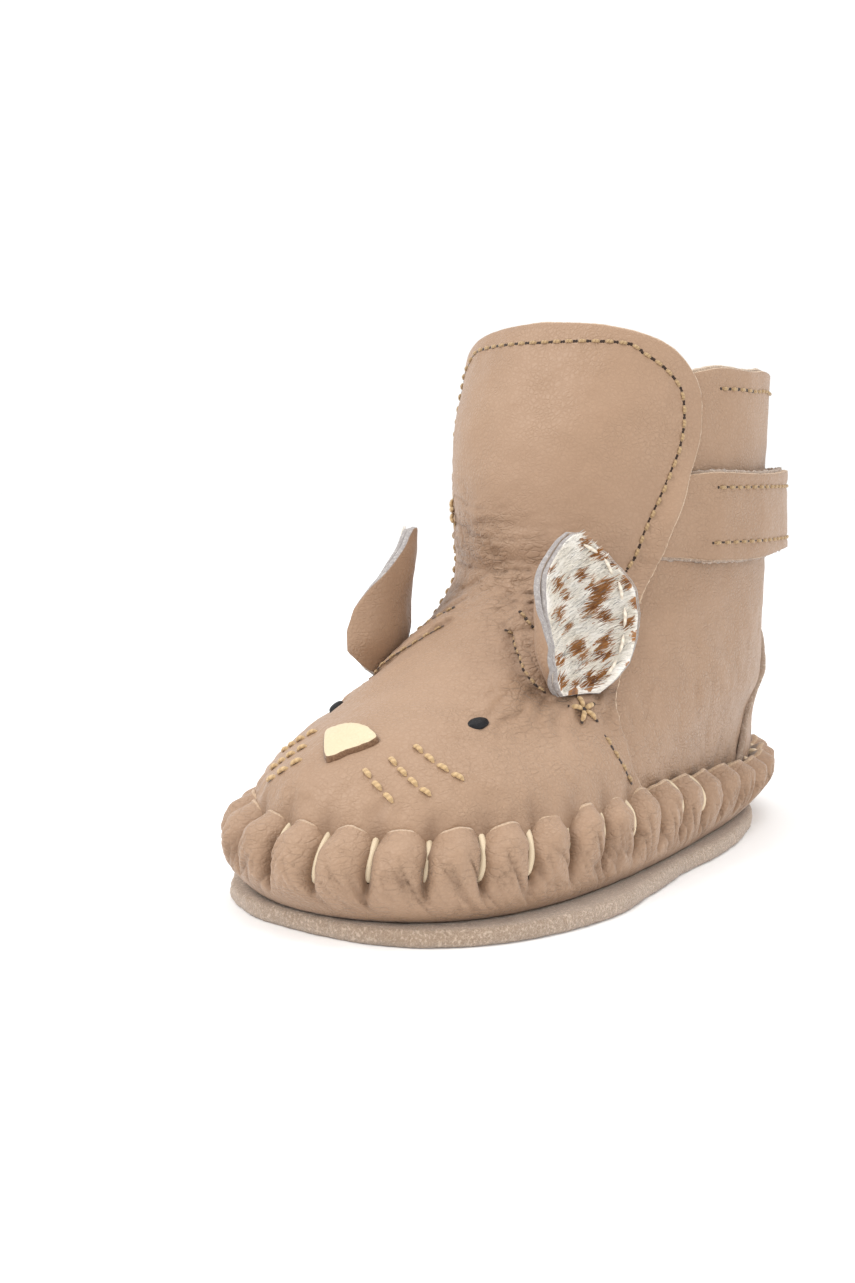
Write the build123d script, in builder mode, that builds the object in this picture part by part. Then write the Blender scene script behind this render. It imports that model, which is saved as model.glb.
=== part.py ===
"""Left baby bootie, in millimetres: a soft leather moccasin with an animal face, a tall tongue flap that
folds forward, and an ankle strap. The toe points to -Y, the outer side of the foot is +X, +Z is up, and
the origin is the middle of the ground face of the outsole."""

from build123d import *
from math import acos, cos, hypot, pi, radians, sin
import os

# Driving dimensions
LEATHER = 1.2
LINING = 1.0
PLY_GAP = 0.1  # between two layers that are sewn together
FREE_GAP = 0.4  # between layers of different moving bodies
OUTSOLE_THICK = 3.0
WRAP_FLOOR = 1.2
INSOLE_THICK = 3.0
PATCH_THICK = 1.5
FUR_THICK = 1.8
PAD_THICK = 0.55
STRAP_OUT = 1.6  # how far the strap's back stands off the quarter
THREAD_WIDTH = 0.6
THREAD_HEIGHT = 0.4
THREAD_LIFT = 0.42  # from a surface to the middle of a stitch on it
STITCH_PITCH = 2.5
STITCH_FILL = 0.72
STITCH_INSET = 3.2  # from an edge to its row of stitches
COLLAR_TOP = 91.0
FLAP_TOP = 99.0
SEAM_OVERLAP = 6.0
TOE_LEAN = 2.0  # how far the toe swings to the outer side
SECTION_STEP = 5.0  # between the slices of a lofted body
SECTION_POINTS = 26

# The upper as rows of height, toe end, heel end, half width, taper towards the heel, squareness
UPPER = [
    (4, -61.0, 67.0, 29.5, 0.20, 0.14),
    (12, -63.0, 69.0, 30.0, 0.18, 0.13),
    (18, -62.5, 70.0, 29.5, 0.15, 0.11),
    (24, -57.5, 70.0, 28.5, 0.03, 0.07),
    (29, -49.0, 69.8, 27.5, -0.16, 0.03),
    (34, -36.5, 69.2, 27.0, -0.20, 0.00),
    (41, -20.5, 68.0, 27.0, -0.14, 0.00),
    (49, -8.0, 66.5, 27.5, -0.08, 0.01),
    (58, -5.5, 65.0, 28.0, -0.05, 0.02),
    (68, -4.5, 64.0, 28.5, -0.03, 0.02),
    (78, -2.5, 63.2, 28.8, -0.02, 0.02),
    (90, 2.0, 62.5, 29.0, -0.02, 0.02),
    (99, 6.0, 62.0, 29.2, -0.02, 0.02),
]
# The gathered wrap around the foot, in the same columns
WRAP = [
    (3.0, -64.0, 65.0, 32.5, 0.14, 0.15),
    (7.0, -68.5, 71.0, 35.0, 0.11, 0.16),
    (11.0, -69.5, 73.5, 35.5, 0.11, 0.16),
    (14.5, -68.0, 73.5, 34.5, 0.12, 0.15),
    (18.0, -65.5, 72.0, 32.8, 0.13, 0.14),
]
# Outsole outline, outer side from toe to heel; the inner side mirrors it and leans less
OUTSOLE_SIDE = [(14, -64), (24, -58.5), (32, -47.5), (36.2, -30), (34.8, -14), (32.6, 2), (32, 16), (29, 32),
                (23, 48), (12, 61.5)]
OUTSOLE_TOE = (2.0, -65.3)
OUTSOLE_HEEL = (0.0, 66.0)
# Edge of the vamp and flap seen from the side (Y, Z), from the sole up to the top of the flap
SEAM_LINE = [(-4, 2), (-9, 13), (-12.5, 22), (-9.5, 30), (-1.5, 38.5), (3.5, 45), (7, 51), (8.5, 56),
             (10, 61.5), (13, 70), (15.5, 77), (16.5, 84)]
FLAP_CORNER = [(15.5, 88.5), (12.5, 93.5), (8.5, 96.5), (4, 98), (-5, 98.3)]
# Row of stitches inside the flap's outer edge, and the front edge of the heel patch, in the same view
FLAP_ROW = [(2.6, 51.5), (4.8, 56), (6.5, 61.5), (9.8, 70), (12.3, 77), (13.2, 84), (12, 88), (9.6, 91.5), (6.9, 94)]
HEEL_PATCH_LINE = [(42, 13), (53, 27), (61, 39), (66, 45), (76, 48)]
# Top edge of the wrap in the same view; it dips towards the heel
WRAP_TOP_LINE = [(-85, 17.2), (-40, 17.4), (-5, 16.8), (20, 15.4), (40, 13.4), (60, 12.6), (85, 13)]
# Fold of the flap: a line across the front that climbs to the inner side
FOLD_HEIGHT = 56.2
FOLD_FRONT = -8.2
FOLD_TILT = 22.2  # degrees
# Strap
STRAP_LOW = 54.5
STRAP_HIGH = 71.0
STRAP_FRONT = 17.0
STRAP_HINGE_Y = 52.0
# Ears
EAR_HEIGHT = 27.0
EAR_WIDTH = 21.5
EAR_CUP = 17.0
EAR_TURN = 24.0  # degrees from facing sideways towards the toe
EAR_BASE = (21.5, -16.5, 34.0)
# Lacing
LACE_THICK = 1.3
LACE_COUNT = 38
LACE_HOLE_HEIGHT = 9.5
# Face
EYE_TURN = 0.60
EYE_HEIGHT = 30.5
EYE_LENGTH = 4.2
EYE_WIDTH = 2.2
NOSE = [(-3.2, -52.2), (1.6, -51.0), (6.4, -52.2), (6.6, -53.6), (2.6, -58.2), (0.6, -58.2), (-3.4, -53.6)]
WHISKERS = [((0.175, 25.6), (0.342, 20.9)), ((0.262, 26.9), (0.478, 21.8)), ((0.349, 28.5), (0.594, 23.6))]
WHISKER_STITCHES = 4


def row_at(rows, height):
    """The shape values at a height, on a smooth curve through the rows."""
    height = min(max(height, rows[0][0]), rows[-1][0])
    low = max(i for i in range(len(rows) - 1) if rows[i][0] <= height)
    span = rows[low + 1][0] - rows[low][0]
    u = (height - rows[low][0]) / span
    values = []
    for column in range(1, 6):

        def slope(i):
            before = rows[max(i - 1, 0)]
            after = rows[min(i + 1, len(rows) - 1)]
            return (after[column] - before[column]) / (after[0] - before[0])

        start = rows[low][column]
        end = rows[low + 1][column]
        values.append(
            (2 * u**3 - 3 * u**2 + 1) * start
            + (u**3 - 2 * u**2 + u) * span * slope(low)
            + (3 * u**2 - 2 * u**3) * end
            + (u**3 - u**2) * span * slope(low + 1)
        )
    return values


def plan_point(rows, turn, height):
    """Point of a horizontal outline; turn 0 is the toe, pi/2 the outer side, pi the heel."""
    toe, heel, half_width, taper, square = row_at(rows, height)
    y = (toe + heel) / 2 - (heel - toe) / 2 * cos(turn)
    x = half_width * sin(turn) * (1 + square / 2 + taper * cos(turn) + square * cos(2 * turn))
    return x, y


def surface_point(rows, turn, height, out=0.0):
    """Point on the surface that lies `out` outside the rows, at this height."""
    source = height - out
    step = 1e-4
    x0, y0 = plan_point(rows, turn - step, source)
    x1, y1 = plan_point(rows, turn + step, source)
    length = hypot(x1 - x0, y1 - y0)
    x, y = plan_point(rows, turn, source)
    x += out * (y1 - y0) / length
    y -= out * (x1 - x0) / length
    lean = TOE_LEAN * max(0.0, min(1.0, (20 - y) / 80)) * max(0.0, min(1.0, (50 - source) / 25))
    return Vector(x + lean, y, height)


def outward(rows, turn, height, out):
    """Direction that points straight out of the surface."""
    here = surface_point(rows, turn, height, out)
    across = surface_point(rows, turn + 0.01, height, out) - here
    up = surface_point(rows, turn, height + 0.1, out) - here
    return across.cross(up).normalized()


def side_turn(side, y, height):
    """Turn of the point that stands at this y on the outer (1) or inner (-1) side of the upper."""
    toe, heel = row_at(UPPER, height)[:2]
    share = ((toe + heel) / 2 - y) / ((heel - toe) / 2)
    return side * acos(max(-1.0, min(1.0, share)))


def wrap_top_at(y):
    """Height of the wrap's top edge at this y."""
    for (y0, z0), (y1, z1) in zip(WRAP_TOP_LINE, WRAP_TOP_LINE[1:]):
        if y0 <= y <= y1:
            return z0 + (z1 - z0) * (y - y0) / (y1 - y0)


def even_turns(rows, height, count):
    """Turns in the middles of `count` even lengths of the outline at this height, from the heel round."""
    turns = [-pi + 2 * pi * k / 720 for k in range(721)]
    points = [plan_point(rows, turn, height) for turn in turns]
    lengths = [hypot(b[0] - a[0], b[1] - a[1]) for a, b in zip(points, points[1:])]
    pitch = sum(lengths) / count
    found = []
    far = 0.0
    for turn, length in zip(turns, lengths):
        far += length
        if far >= (len(found) + 0.5) * pitch and len(found) < count:
            found.append(turn)
    return found


def body_inside(rows, low, high, out):
    """Closed body inside the surface `out` outside the rows, between two heights."""
    count = max(2, round((high - low) / SECTION_STEP))
    with BuildPart() as body:
        for i in range(count + 1):
            height = low + (high - low) * i / count
            with BuildSketch(Plane.XY.offset(height)):
                with BuildLine():
                    Spline(
                        *[
                            tuple(surface_point(rows, 2 * pi * k / SECTION_POINTS, height, out))[:2]
                            for k in range(SECTION_POINTS)
                        ],
                        periodic=True,
                    )
                make_face()
        loft()
    return body.part


def side_region(points, closing):
    """Block whose side view (Y, Z) is bounded by a smooth line and by straight closing points."""
    with BuildPart() as region:
        with BuildSketch(Plane.YZ):
            with BuildLine():
                Spline(*points)
                Polyline(points[-1], *closing, points[0])
            make_face()
        extrude(amount=60, both=True)
    return region.part


def shifted(points, dy):
    return [(y + dy, z) for y, z in points]


BASE = OUTSOLE_THICK + WRAP_FLOOR + PLY_GAP
fold_plane = Plane(origin=(0, FOLD_FRONT, FOLD_HEIGHT)).rotated((0, FOLD_TILT, 0))

# Layers of the upper, each a body inside one offset of the same surface
outer_face = body_inside(UPPER, BASE, FLAP_TOP, LEATHER + PLY_GAP / 2)
outer_back = body_inside(UPPER, BASE - 1, FLAP_TOP + 1, PLY_GAP / 2)
middle_face = body_inside(UPPER, BASE, FLAP_TOP, -PLY_GAP / 2)
middle_back = body_inside(UPPER, BASE - 1, FLAP_TOP + 1, -PLY_GAP / 2 - LEATHER)
inner_face = body_inside(UPPER, BASE, FLAP_TOP, -PLY_GAP * 1.5 - LEATHER)
inner_back = body_inside(UPPER, BASE - 1, FLAP_TOP + 1, -PLY_GAP * 1.5 - LEATHER - LINING)
flap_face = body_inside(UPPER, BASE, FLAP_TOP, FREE_GAP + LEATHER)
flap_middle = body_inside(UPPER, BASE - 1, FLAP_TOP + 1, FREE_GAP)
flap_lining_face = body_inside(UPPER, BASE, FLAP_TOP, FREE_GAP - PLY_GAP)
flap_back = body_inside(UPPER, BASE - 1, FLAP_TOP + 1, FREE_GAP - PLY_GAP - LINING)

front_of_seam = side_region(SEAM_LINE + FLAP_CORNER, [(-90, 98.3), (-90, 2)])
quarter_edge = shifted(SEAM_LINE, -SEAM_OVERLAP)
behind_seam = side_region(quarter_edge, [(10.5, 88), (40, 89.5), (70, COLLAR_TOP), (90, COLLAR_TOP), (90, 2)])
front_of_quarter = side_region(shifted(SEAM_LINE, -SEAM_OVERLAP - FREE_GAP), [(10, 97.5), (-90, 97.5), (-90, 2)])

with BuildPart() as above_fold:
    with BuildSketch(fold_plane.offset(FREE_GAP / 2)):
        Rectangle(200, 300)
    extrude(amount=100)
with BuildPart() as below_fold:
    with BuildSketch(fold_plane.offset(-FREE_GAP / 2)):
        Rectangle(200, 300)
    extrude(amount=-100)

# Outsole: one flat patch that stands out as a flange
with BuildPart() as outsole:
    with BuildSketch():
        with BuildLine():
            inner_side = [(-x + TOE_LEAN * max(0, min(2, (10 - y) / 25)), y) for x, y in reversed(OUTSOLE_SIDE)]
            Spline(OUTSOLE_TOE, *OUTSOLE_SIDE, OUTSOLE_HEEL, *inner_side, periodic=True)
        make_face()
    extrude(amount=OUTSOLE_THICK)

# Wrap: the sole leather, turned up around the foot and gathered
wrap_below_top = side_region(WRAP_TOP_LINE, [(85, 0), (-85, 0)])
wrap_outer = body_inside(WRAP, OUTSOLE_THICK, 18, 0)
foot_hollow = body_inside(UPPER, BASE - PLY_GAP, 20, LEATHER + PLY_GAP * 2)
with BuildPart() as wrap:
    add(wrap_outer)
    add(foot_hollow, mode=Mode.SUBTRACT)
    add(wrap_below_top, mode=Mode.INTERSECT)

# Vamp with the face, in front of the seam and below the fold
with BuildPart() as vamp:
    add(outer_face)
    add(front_of_seam, mode=Mode.INTERSECT)
    add(below_fold.part, mode=Mode.INTERSECT)
    add(outer_back, mode=Mode.SUBTRACT)
with BuildPart() as vamp_lining:
    add(middle_face)
    add(front_of_quarter, mode=Mode.INTERSECT)
    add(below_fold.part, mode=Mode.INTERSECT)
    add(middle_back, mode=Mode.SUBTRACT)

# Tongue flap, above the fold
with BuildPart() as flap:
    add(flap_face)
    add(front_of_seam, mode=Mode.INTERSECT)
    add(above_fold.part, mode=Mode.INTERSECT)
    add(flap_middle, mode=Mode.SUBTRACT)
with BuildPart() as flap_lining:
    add(flap_lining_face)
    add(front_of_quarter, mode=Mode.INTERSECT)
    add(above_fold.part, mode=Mode.INTERSECT)
    add(flap_back, mode=Mode.SUBTRACT)

# Quarter, the back of the upper, and its lining. On the inner side neither reaches under the flap, which
# swings inwards there as it folds
with BuildPart() as inner_flap_room:
    add(side_region(shifted(SEAM_LINE, FREE_GAP), [(17, 96), (-90, 96), (-90, 2)]))
    add(above_fold.part, mode=Mode.INTERSECT)
    with Locations((-50, 0, 60)):
        Box(100, 300, 120, mode=Mode.INTERSECT)
with BuildPart() as quarter:
    add(middle_face)
    add(behind_seam, mode=Mode.INTERSECT)
    add(inner_flap_room.part, mode=Mode.SUBTRACT)
    add(middle_back, mode=Mode.SUBTRACT)
with BuildPart() as quarter_lining:
    add(inner_face)
    add(behind_seam, mode=Mode.INTERSECT)
    add(inner_flap_room.part, mode=Mode.SUBTRACT)
    add(inner_back, mode=Mode.SUBTRACT)

# Heel patch on the back of the quarter, wide at the sole and narrow at its top
heel_patch_region = side_region(HEEL_PATCH_LINE, [(95, 48), (95, 13)])
with BuildPart() as heel_patch:
    add(body_inside(UPPER, BASE, 50, PLY_GAP / 2 + PATCH_THICK))
    add(heel_patch_region, mode=Mode.INTERSECT)
    add(wrap_outer, mode=Mode.SUBTRACT)
    add(body_inside(UPPER, BASE - 1, 51, PLY_GAP / 2), mode=Mode.SUBTRACT)

# Insole inside the linings
with BuildPart() as insole:
    add(body_inside(UPPER, BASE, BASE + INSOLE_THICK, -PLY_GAP * 3 - LEATHER - LINING))

# Ankle strap: a band sewn to the inner side, round the heel, and its free end on the outer side
strap_region = side_region(
    [(90, STRAP_HIGH), (40, STRAP_HIGH - 0.3), (STRAP_FRONT, STRAP_HIGH - 0.8)],
    [(STRAP_FRONT, STRAP_LOW), (90, STRAP_LOW + 2)],
)
strap_face = body_inside(UPPER, 48, 78, STRAP_OUT + LINING + PLY_GAP + LEATHER)
strap_middle = body_inside(UPPER, 47, 79, STRAP_OUT + LINING + PLY_GAP)
strap_inner = body_inside(UPPER, 47, 79, STRAP_OUT + LINING)
strap_back = body_inside(UPPER, 46, 80, STRAP_OUT)
with BuildPart() as end_zone:
    with BuildSketch(Plane.XY):
        with Locations((50, STRAP_HINGE_Y - FREE_GAP / 2)):
            Rectangle(100, 100, align=(Align.CENTER, Align.MAX))
    extrude(amount=120)
with BuildPart() as band_zone:
    with BuildSketch(Plane.XY):
        Rectangle(200, 300)
        with Locations((50, STRAP_HINGE_Y + FREE_GAP / 2)):
            Rectangle(100, 200, align=(Align.CENTER, Align.MAX), mode=Mode.SUBTRACT)
    extrude(amount=120)
with BuildPart() as strap_band:
    add(strap_face)
    add(strap_region, mode=Mode.INTERSECT)
    add(band_zone.part, mode=Mode.INTERSECT)
    add(strap_middle, mode=Mode.SUBTRACT)
with BuildPart() as strap_band_lining:
    add(strap_inner)
    add(strap_region, mode=Mode.INTERSECT)
    add(band_zone.part, mode=Mode.INTERSECT)
    add(strap_back, mode=Mode.SUBTRACT)
with BuildPart() as strap_end:
    add(strap_face)
    add(strap_region, mode=Mode.INTERSECT)
    add(end_zone.part, mode=Mode.INTERSECT)
    add(strap_middle, mode=Mode.SUBTRACT)
with BuildPart() as strap_end_lining:
    add(strap_inner)
    add(strap_region, mode=Mode.INTERSECT)
    add(end_zone.part, mode=Mode.INTERSECT)
    add(strap_back, mode=Mode.SUBTRACT)


def ear_plane(side):
    """Plane of an ear's chord at its base: x runs along the base, y up, z outwards."""
    return Plane(
        origin=(side * EAR_BASE[0] + TOE_LEAN / 2, EAR_BASE[1], EAR_BASE[2]),
        x_dir=(sin(radians(EAR_TURN)), side * cos(radians(EAR_TURN)), 0),
        z_dir=(side * cos(radians(EAR_TURN)), -sin(radians(EAR_TURN)), 0),
    )


def leaf_points(inset):
    """Outline of an ear from one end of its base over the tip to the other."""
    half = EAR_WIDTH / 2 - inset
    top = EAR_HEIGHT - inset
    return [
        (-half * 0.8, 0),
        (-half, EAR_HEIGHT * 0.34),
        (-half * 0.62, EAR_HEIGHT * 0.8 - inset * 0.6),
        (0, top),
        (half * 0.7, EAR_HEIGHT * 0.76 - inset * 0.6),
        (half, EAR_HEIGHT * 0.3),
        (half * 0.72, 0),
    ]


def ear_leaf(side, front, back, inset):
    """Curved leaf of an ear, between two radii of its cup."""
    facing = ear_plane(side)
    axis = facing.offset(EAR_CUP - 3).origin
    with BuildPart() as leaf:
        with BuildSketch(facing.offset(-EAR_CUP)):
            with BuildLine():
                Spline(*leaf_points(inset))
                Line(leaf_points(inset)[-1], leaf_points(inset)[0])
            make_face()
        extrude(amount=EAR_CUP * 2 - 4)
        with BuildSketch(Plane.XY.offset(EAR_BASE[2] - 1)):
            with Locations((axis.X, axis.Y)):
                Circle(back)
                Circle(front, mode=Mode.SUBTRACT)
        extrude(amount=EAR_HEIGHT + 10, mode=Mode.INTERSECT)
        add(ear_rest, mode=Mode.SUBTRACT)
    return leaf.part.solids().sort_by(SortBy.VOLUME)[-1]


ear_rest = body_inside(UPPER, 15, 70, LEATHER + PLY_GAP / 2 + FREE_GAP * 2)


def stitches(spans, width=THREAD_WIDTH, height=THREAD_HEIGHT):
    """Group of separate straight stitches; a span is two ends and the way out of the surface."""
    with BuildPart() as row:
        for start, finish, way_out in spans:
            with Locations(Plane(origin=(start + finish) / 2, x_dir=finish - start, z_dir=way_out)):
                Box((finish - start).length, width, height)
    return row.part


def row_spans(rows, stops, out, pitch=STITCH_PITCH):
    """Spans of a stitch row along a smooth line through stops of (turn, height)."""
    line = [surface_point(rows, turn, height, out) for turn, height in stops]
    length = sum((b - a).length for a, b in zip(line, line[1:]))
    count = max(2, round(length / pitch))
    spans = []
    for i in range(count):
        ends = []
        for share in (i / count, (i + STITCH_FILL) / count):
            place = share * (len(stops) - 1)
            low = min(int(place), len(stops) - 2)
            turn = stops[low][0] + (place - low) * (stops[low + 1][0] - stops[low][0])
            height = stops[low][1] + (place - low) * (stops[low + 1][1] - stops[low][1])
            ends.append((turn, height))
        start, finish = (surface_point(rows, turn, height, out) for turn, height in ends)
        spans.append((start, finish, outward(rows, *ends[0], out)))
    return spans


def side_stops(side, points):
    return [(side_turn(side, y, z), z) for y, z in points]


# Threads of the upper: vamp seams, collar, flap edge, darts at the ears, whiskers, bartacks
ON_VAMP = LEATHER + PLY_GAP / 2 + THREAD_LIFT
ON_QUARTER = THREAD_LIFT
ON_FLAP = FREE_GAP + LEATHER + THREAD_LIFT + 0.1
ON_STRAP = STRAP_OUT + LINING + PLY_GAP + LEATHER + THREAD_LIFT
seam_inside = shifted(SEAM_LINE, -STITCH_INSET)
seam_stitches = stitches(
    row_spans(UPPER, side_stops(1, [(-15.5, 21), (-15.2, 24.5), (-13.9, 27.5)]), ON_VAMP)
    + row_spans(UPPER, side_stops(-1, [(-15.5, 21), (-15.2, 24.5), (-13.3, 29), *seam_inside[4:9]]), ON_VAMP)
)
flap_outer_row = side_stops(1, FLAP_ROW)
flap_inner_row = side_stops(-1, FLAP_ROW[4:])
flap_stitches = stitches(row_spans(UPPER, flap_outer_row + flap_inner_row[::-1], ON_FLAP))
collar_turns = [side_turn(1, 22, 86) + i * (2 * pi - side_turn(1, 22, 86) * 2) / 20 for i in range(21)]
collar_stitches = stitches(row_spans(UPPER, [(turn, COLLAR_TOP - 5.5) for turn in collar_turns], ON_QUARTER))
dart_stitches = stitches(
    [span for side in (1, -1) for span in row_spans(UPPER, [(side * 0.30, 44.5), (side * 0.68, 36.5)], ON_VAMP)]
)
whisker_stitches = stitches(
    [
        span
        for side in (1, -1)
        for (turn, height), (end_turn, end_height) in WHISKERS
        for span in row_spans(
            UPPER, [(side * turn, height), (side * end_turn, end_height)], ON_VAMP, pitch=2.2
        )[:WHISKER_STITCHES]
    ]
)


def bartack(side, y, height):
    """Star of short stitches."""
    turn = side_turn(side, y, height)
    centre = surface_point(UPPER, turn, height, ON_VAMP + THREAD_HEIGHT)
    plane = Plane(origin=centre, z_dir=outward(UPPER, turn, height, ON_VAMP))
    return [
        (
            centre + plane.x_dir * 0.9 * cos(k * 2 * pi / 5) + plane.y_dir * 0.9 * sin(k * 2 * pi / 5),
            centre + plane.x_dir * 2.3 * cos(k * 2 * pi / 5) + plane.y_dir * 2.3 * sin(k * 2 * pi / 5),
            plane.z_dir,
        )
        for k in range(5)
    ]


seam_bartacks = stitches(bartack(1, -16, 31) + bartack(-1, 6, 63))

# Strap threads: a row near each edge
strap_turns = [side_turn(1, y, 62) for y in (20, 30, 40, 50)]
band_turns = [side_turn(1, 54, 62) + i * 0.2 for i in range(18)]
band_turns = [turn for turn in band_turns if turn < 2 * pi - side_turn(1, 20, 62)]
strap_rows = (STRAP_LOW + 3.4, STRAP_HIGH - 3.0)
strap_end_stitches = stitches(
    [span for height in strap_rows for span in row_spans(UPPER, [(t, height) for t in strap_turns], ON_STRAP)]
)
strap_band_stitches = stitches(
    [span for height in strap_rows for span in row_spans(UPPER, [(t, height) for t in band_turns], ON_STRAP)]
)

# Hook and loop pads that hold the strap's end
pad_region = side_region([(20, 67.5), (30, 67.6), (38, 67.5)], [(38, 58.5), (20, 58.5)])
with BuildPart() as outer_side:
    with BuildSketch(Plane.XY.offset(40)):
        with Locations((50, 0)):
            Rectangle(100, 300)
    extrude(amount=60)
with BuildPart() as loop_pad:
    add(body_inside(UPPER, 53, 73, PLY_GAP / 2 + PAD_THICK))
    add(pad_region, mode=Mode.INTERSECT)
    add(outer_side.part, mode=Mode.INTERSECT)
    add(body_inside(UPPER, 52, 74, PLY_GAP / 2), mode=Mode.SUBTRACT)
with BuildPart() as hook_pad:
    add(body_inside(UPPER, 53, 73, STRAP_OUT - PLY_GAP / 2))
    add(pad_region, mode=Mode.INTERSECT)
    add(outer_side.part, mode=Mode.INTERSECT)
    add(body_inside(UPPER, 52, 74, STRAP_OUT - PLY_GAP / 2 - PAD_THICK), mode=Mode.SUBTRACT)

# Nose patch and eyes
with BuildPart() as nose_patch:
    with BuildSketch(Plane.XY.offset(20)):
        with BuildLine():
            Spline(*NOSE, periodic=True)
        make_face()
    extrude(amount=20)
    add(body_inside(UPPER, 14, 40, LEATHER + PLY_GAP + 1.2), mode=Mode.INTERSECT)
    add(body_inside(UPPER, 13, 41, LEATHER + PLY_GAP), mode=Mode.SUBTRACT)


def eye(side):
    turn = side * EYE_TURN
    way_out = outward(UPPER, turn, EYE_HEIGHT, ON_VAMP)
    ahead = surface_point(UPPER, turn + side * 0.05, EYE_HEIGHT, 0) - surface_point(UPPER, turn, EYE_HEIGHT, 0)
    with BuildPart() as bead:
        with BuildSketch(
            Plane(origin=surface_point(UPPER, turn, EYE_HEIGHT, ON_VAMP), x_dir=ahead, z_dir=way_out)
        ):
            Ellipse(EYE_LENGTH / 2, EYE_WIDTH / 2)
        extrude(amount=0.9)
        fillet(bead.edges().group_by(SortBy.LENGTH)[-1], 0.3)
    return bead.part


# Ears: leather outside, short-haired hide inside, a row of thread round the edge
ears = {}
for side, name in ((1, "outer"), (-1, "inner")):
    hide_front = EAR_CUP - PLY_GAP - FUR_THICK
    ears[f"ear_{name}_leather"] = ear_leaf(side, EAR_CUP, EAR_CUP + LEATHER, 0)
    ears[f"ear_{name}_fur"] = ear_leaf(side, hide_front, EAR_CUP - PLY_GAP, 0.6)
    facing = ear_plane(side)
    axis = facing.offset(EAR_CUP - 3).origin
    rim = Spline(*leaf_points(2.2)[1:6])
    rim_count = round(rim.length / STITCH_PITCH)
    rim_spans = []
    for i in range(rim_count):
        ends = []
        for place in (rim @ (i / rim_count), rim @ ((i + STITCH_FILL) / rim_count)):
            level = facing.origin + facing.x_dir * place.X + facing.y_dir * place.Y
            depth = (hide_front - THREAD_LIFT) ** 2 - place.X**2
            ends.append(level + facing.z_dir * (EAR_CUP - 3 - depth**0.5))
        middle = (ends[0] + ends[1]) / 2
        rim_spans.append((*ends, Vector(axis.X, axis.Y, middle.Z) - middle))
    ears[f"ear_{name}_stitches"] = stitches(rim_spans)

# Lacing: one waxed thread stitch per gather, from its hole up over the wrap's top edge
lace_parts = []
for turn in even_turns(WRAP, 13, LACE_COUNT):
    y = plan_point(WRAP, turn, 14)[1]
    top = wrap_top_at(y)
    half = LACE_THICK / 2 + 0.25
    stops = [
        surface_point(WRAP, turn, LACE_HOLE_HEIGHT, half),
        surface_point(WRAP, turn, top - 1.0, half + 0.5),
        (surface_point(WRAP, turn, top, 0) + surface_point(UPPER, turn, top, LEATHER)) / 2 + Vector(0, 0, half + 0.9),
        surface_point(UPPER, turn, top + half, LEATHER + PLY_GAP + half),
    ]
    with BuildPart() as lace:
        with BuildLine() as route:
            Spline(*stops)
        with BuildSketch(Plane(origin=route.line @ 0, z_dir=route.line % 0)):
            Circle(LACE_THICK / 2)
        sweep()
    lace_parts.append(lace.part)

pieces = {
    "outsole": outsole.part,
    "moccasin_wrap": wrap.part,
    "insole": insole.part,
    "vamp": vamp.part,
    "vamp_lining": vamp_lining.part.solids().sort_by(SortBy.VOLUME)[-1],
    "quarter": quarter.part,
    "quarter_lining": quarter_lining.part,
    "heel_patch": heel_patch.part.solids().sort_by(SortBy.VOLUME)[-1],
    "tongue_flap": flap.part,
    "tongue_lining": flap_lining.part,
    "strap_band": strap_band.part,
    "strap_band_lining": strap_band_lining.part,
    "strap_end": strap_end.part,
    "strap_end_lining": strap_end_lining.part,
    "loop_pad": loop_pad.part,
    "hook_pad": hook_pad.part,
    "nose_patch": nose_patch.part,
    "eye_outer": eye(1),
    "eye_inner": eye(-1),
    "seam_stitches": seam_stitches,
    "seam_bartacks": seam_bartacks,
    "collar_stitches": collar_stitches,
    "flap_stitches": flap_stitches,
    "dart_stitches": dart_stitches,
    "whisker_stitches": whisker_stitches,
    "strap_band_stitches": strap_band_stitches,
    "strap_end_stitches": strap_end_stitches,
    "lacing_thread": Compound(children=lace_parts),
    **ears,
}
os.makedirs("parts", exist_ok=True)
for name, piece in pieces.items():
    piece.label = name
    export_step(piece, f"parts/{name}.step")
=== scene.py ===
"""Looks of the left baby bootie: gathered moccasin sole, vamp with an animal face, tongue flap, quarter,
strap and fur-lined ears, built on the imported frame. Sizes are in millimetres; meshes are written in
metres."""

import math
import bpy
import numpy as np
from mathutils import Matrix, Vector, noise


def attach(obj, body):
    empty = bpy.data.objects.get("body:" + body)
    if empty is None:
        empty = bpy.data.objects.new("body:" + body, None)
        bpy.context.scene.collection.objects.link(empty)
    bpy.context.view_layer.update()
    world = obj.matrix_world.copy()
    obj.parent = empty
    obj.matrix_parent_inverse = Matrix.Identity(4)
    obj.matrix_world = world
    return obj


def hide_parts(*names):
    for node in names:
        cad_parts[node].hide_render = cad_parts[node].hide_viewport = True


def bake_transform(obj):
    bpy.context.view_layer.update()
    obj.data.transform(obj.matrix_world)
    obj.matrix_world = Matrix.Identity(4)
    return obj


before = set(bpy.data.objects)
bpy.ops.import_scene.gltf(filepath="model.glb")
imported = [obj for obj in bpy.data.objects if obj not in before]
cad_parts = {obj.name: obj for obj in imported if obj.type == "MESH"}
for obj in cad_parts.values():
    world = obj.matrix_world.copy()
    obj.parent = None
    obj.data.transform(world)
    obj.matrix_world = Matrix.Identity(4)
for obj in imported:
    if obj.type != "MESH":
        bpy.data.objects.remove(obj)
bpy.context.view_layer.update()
MM = 0.001
UP = np.array([0, 0, 1.0])
rng = np.random.default_rng(7)

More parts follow.
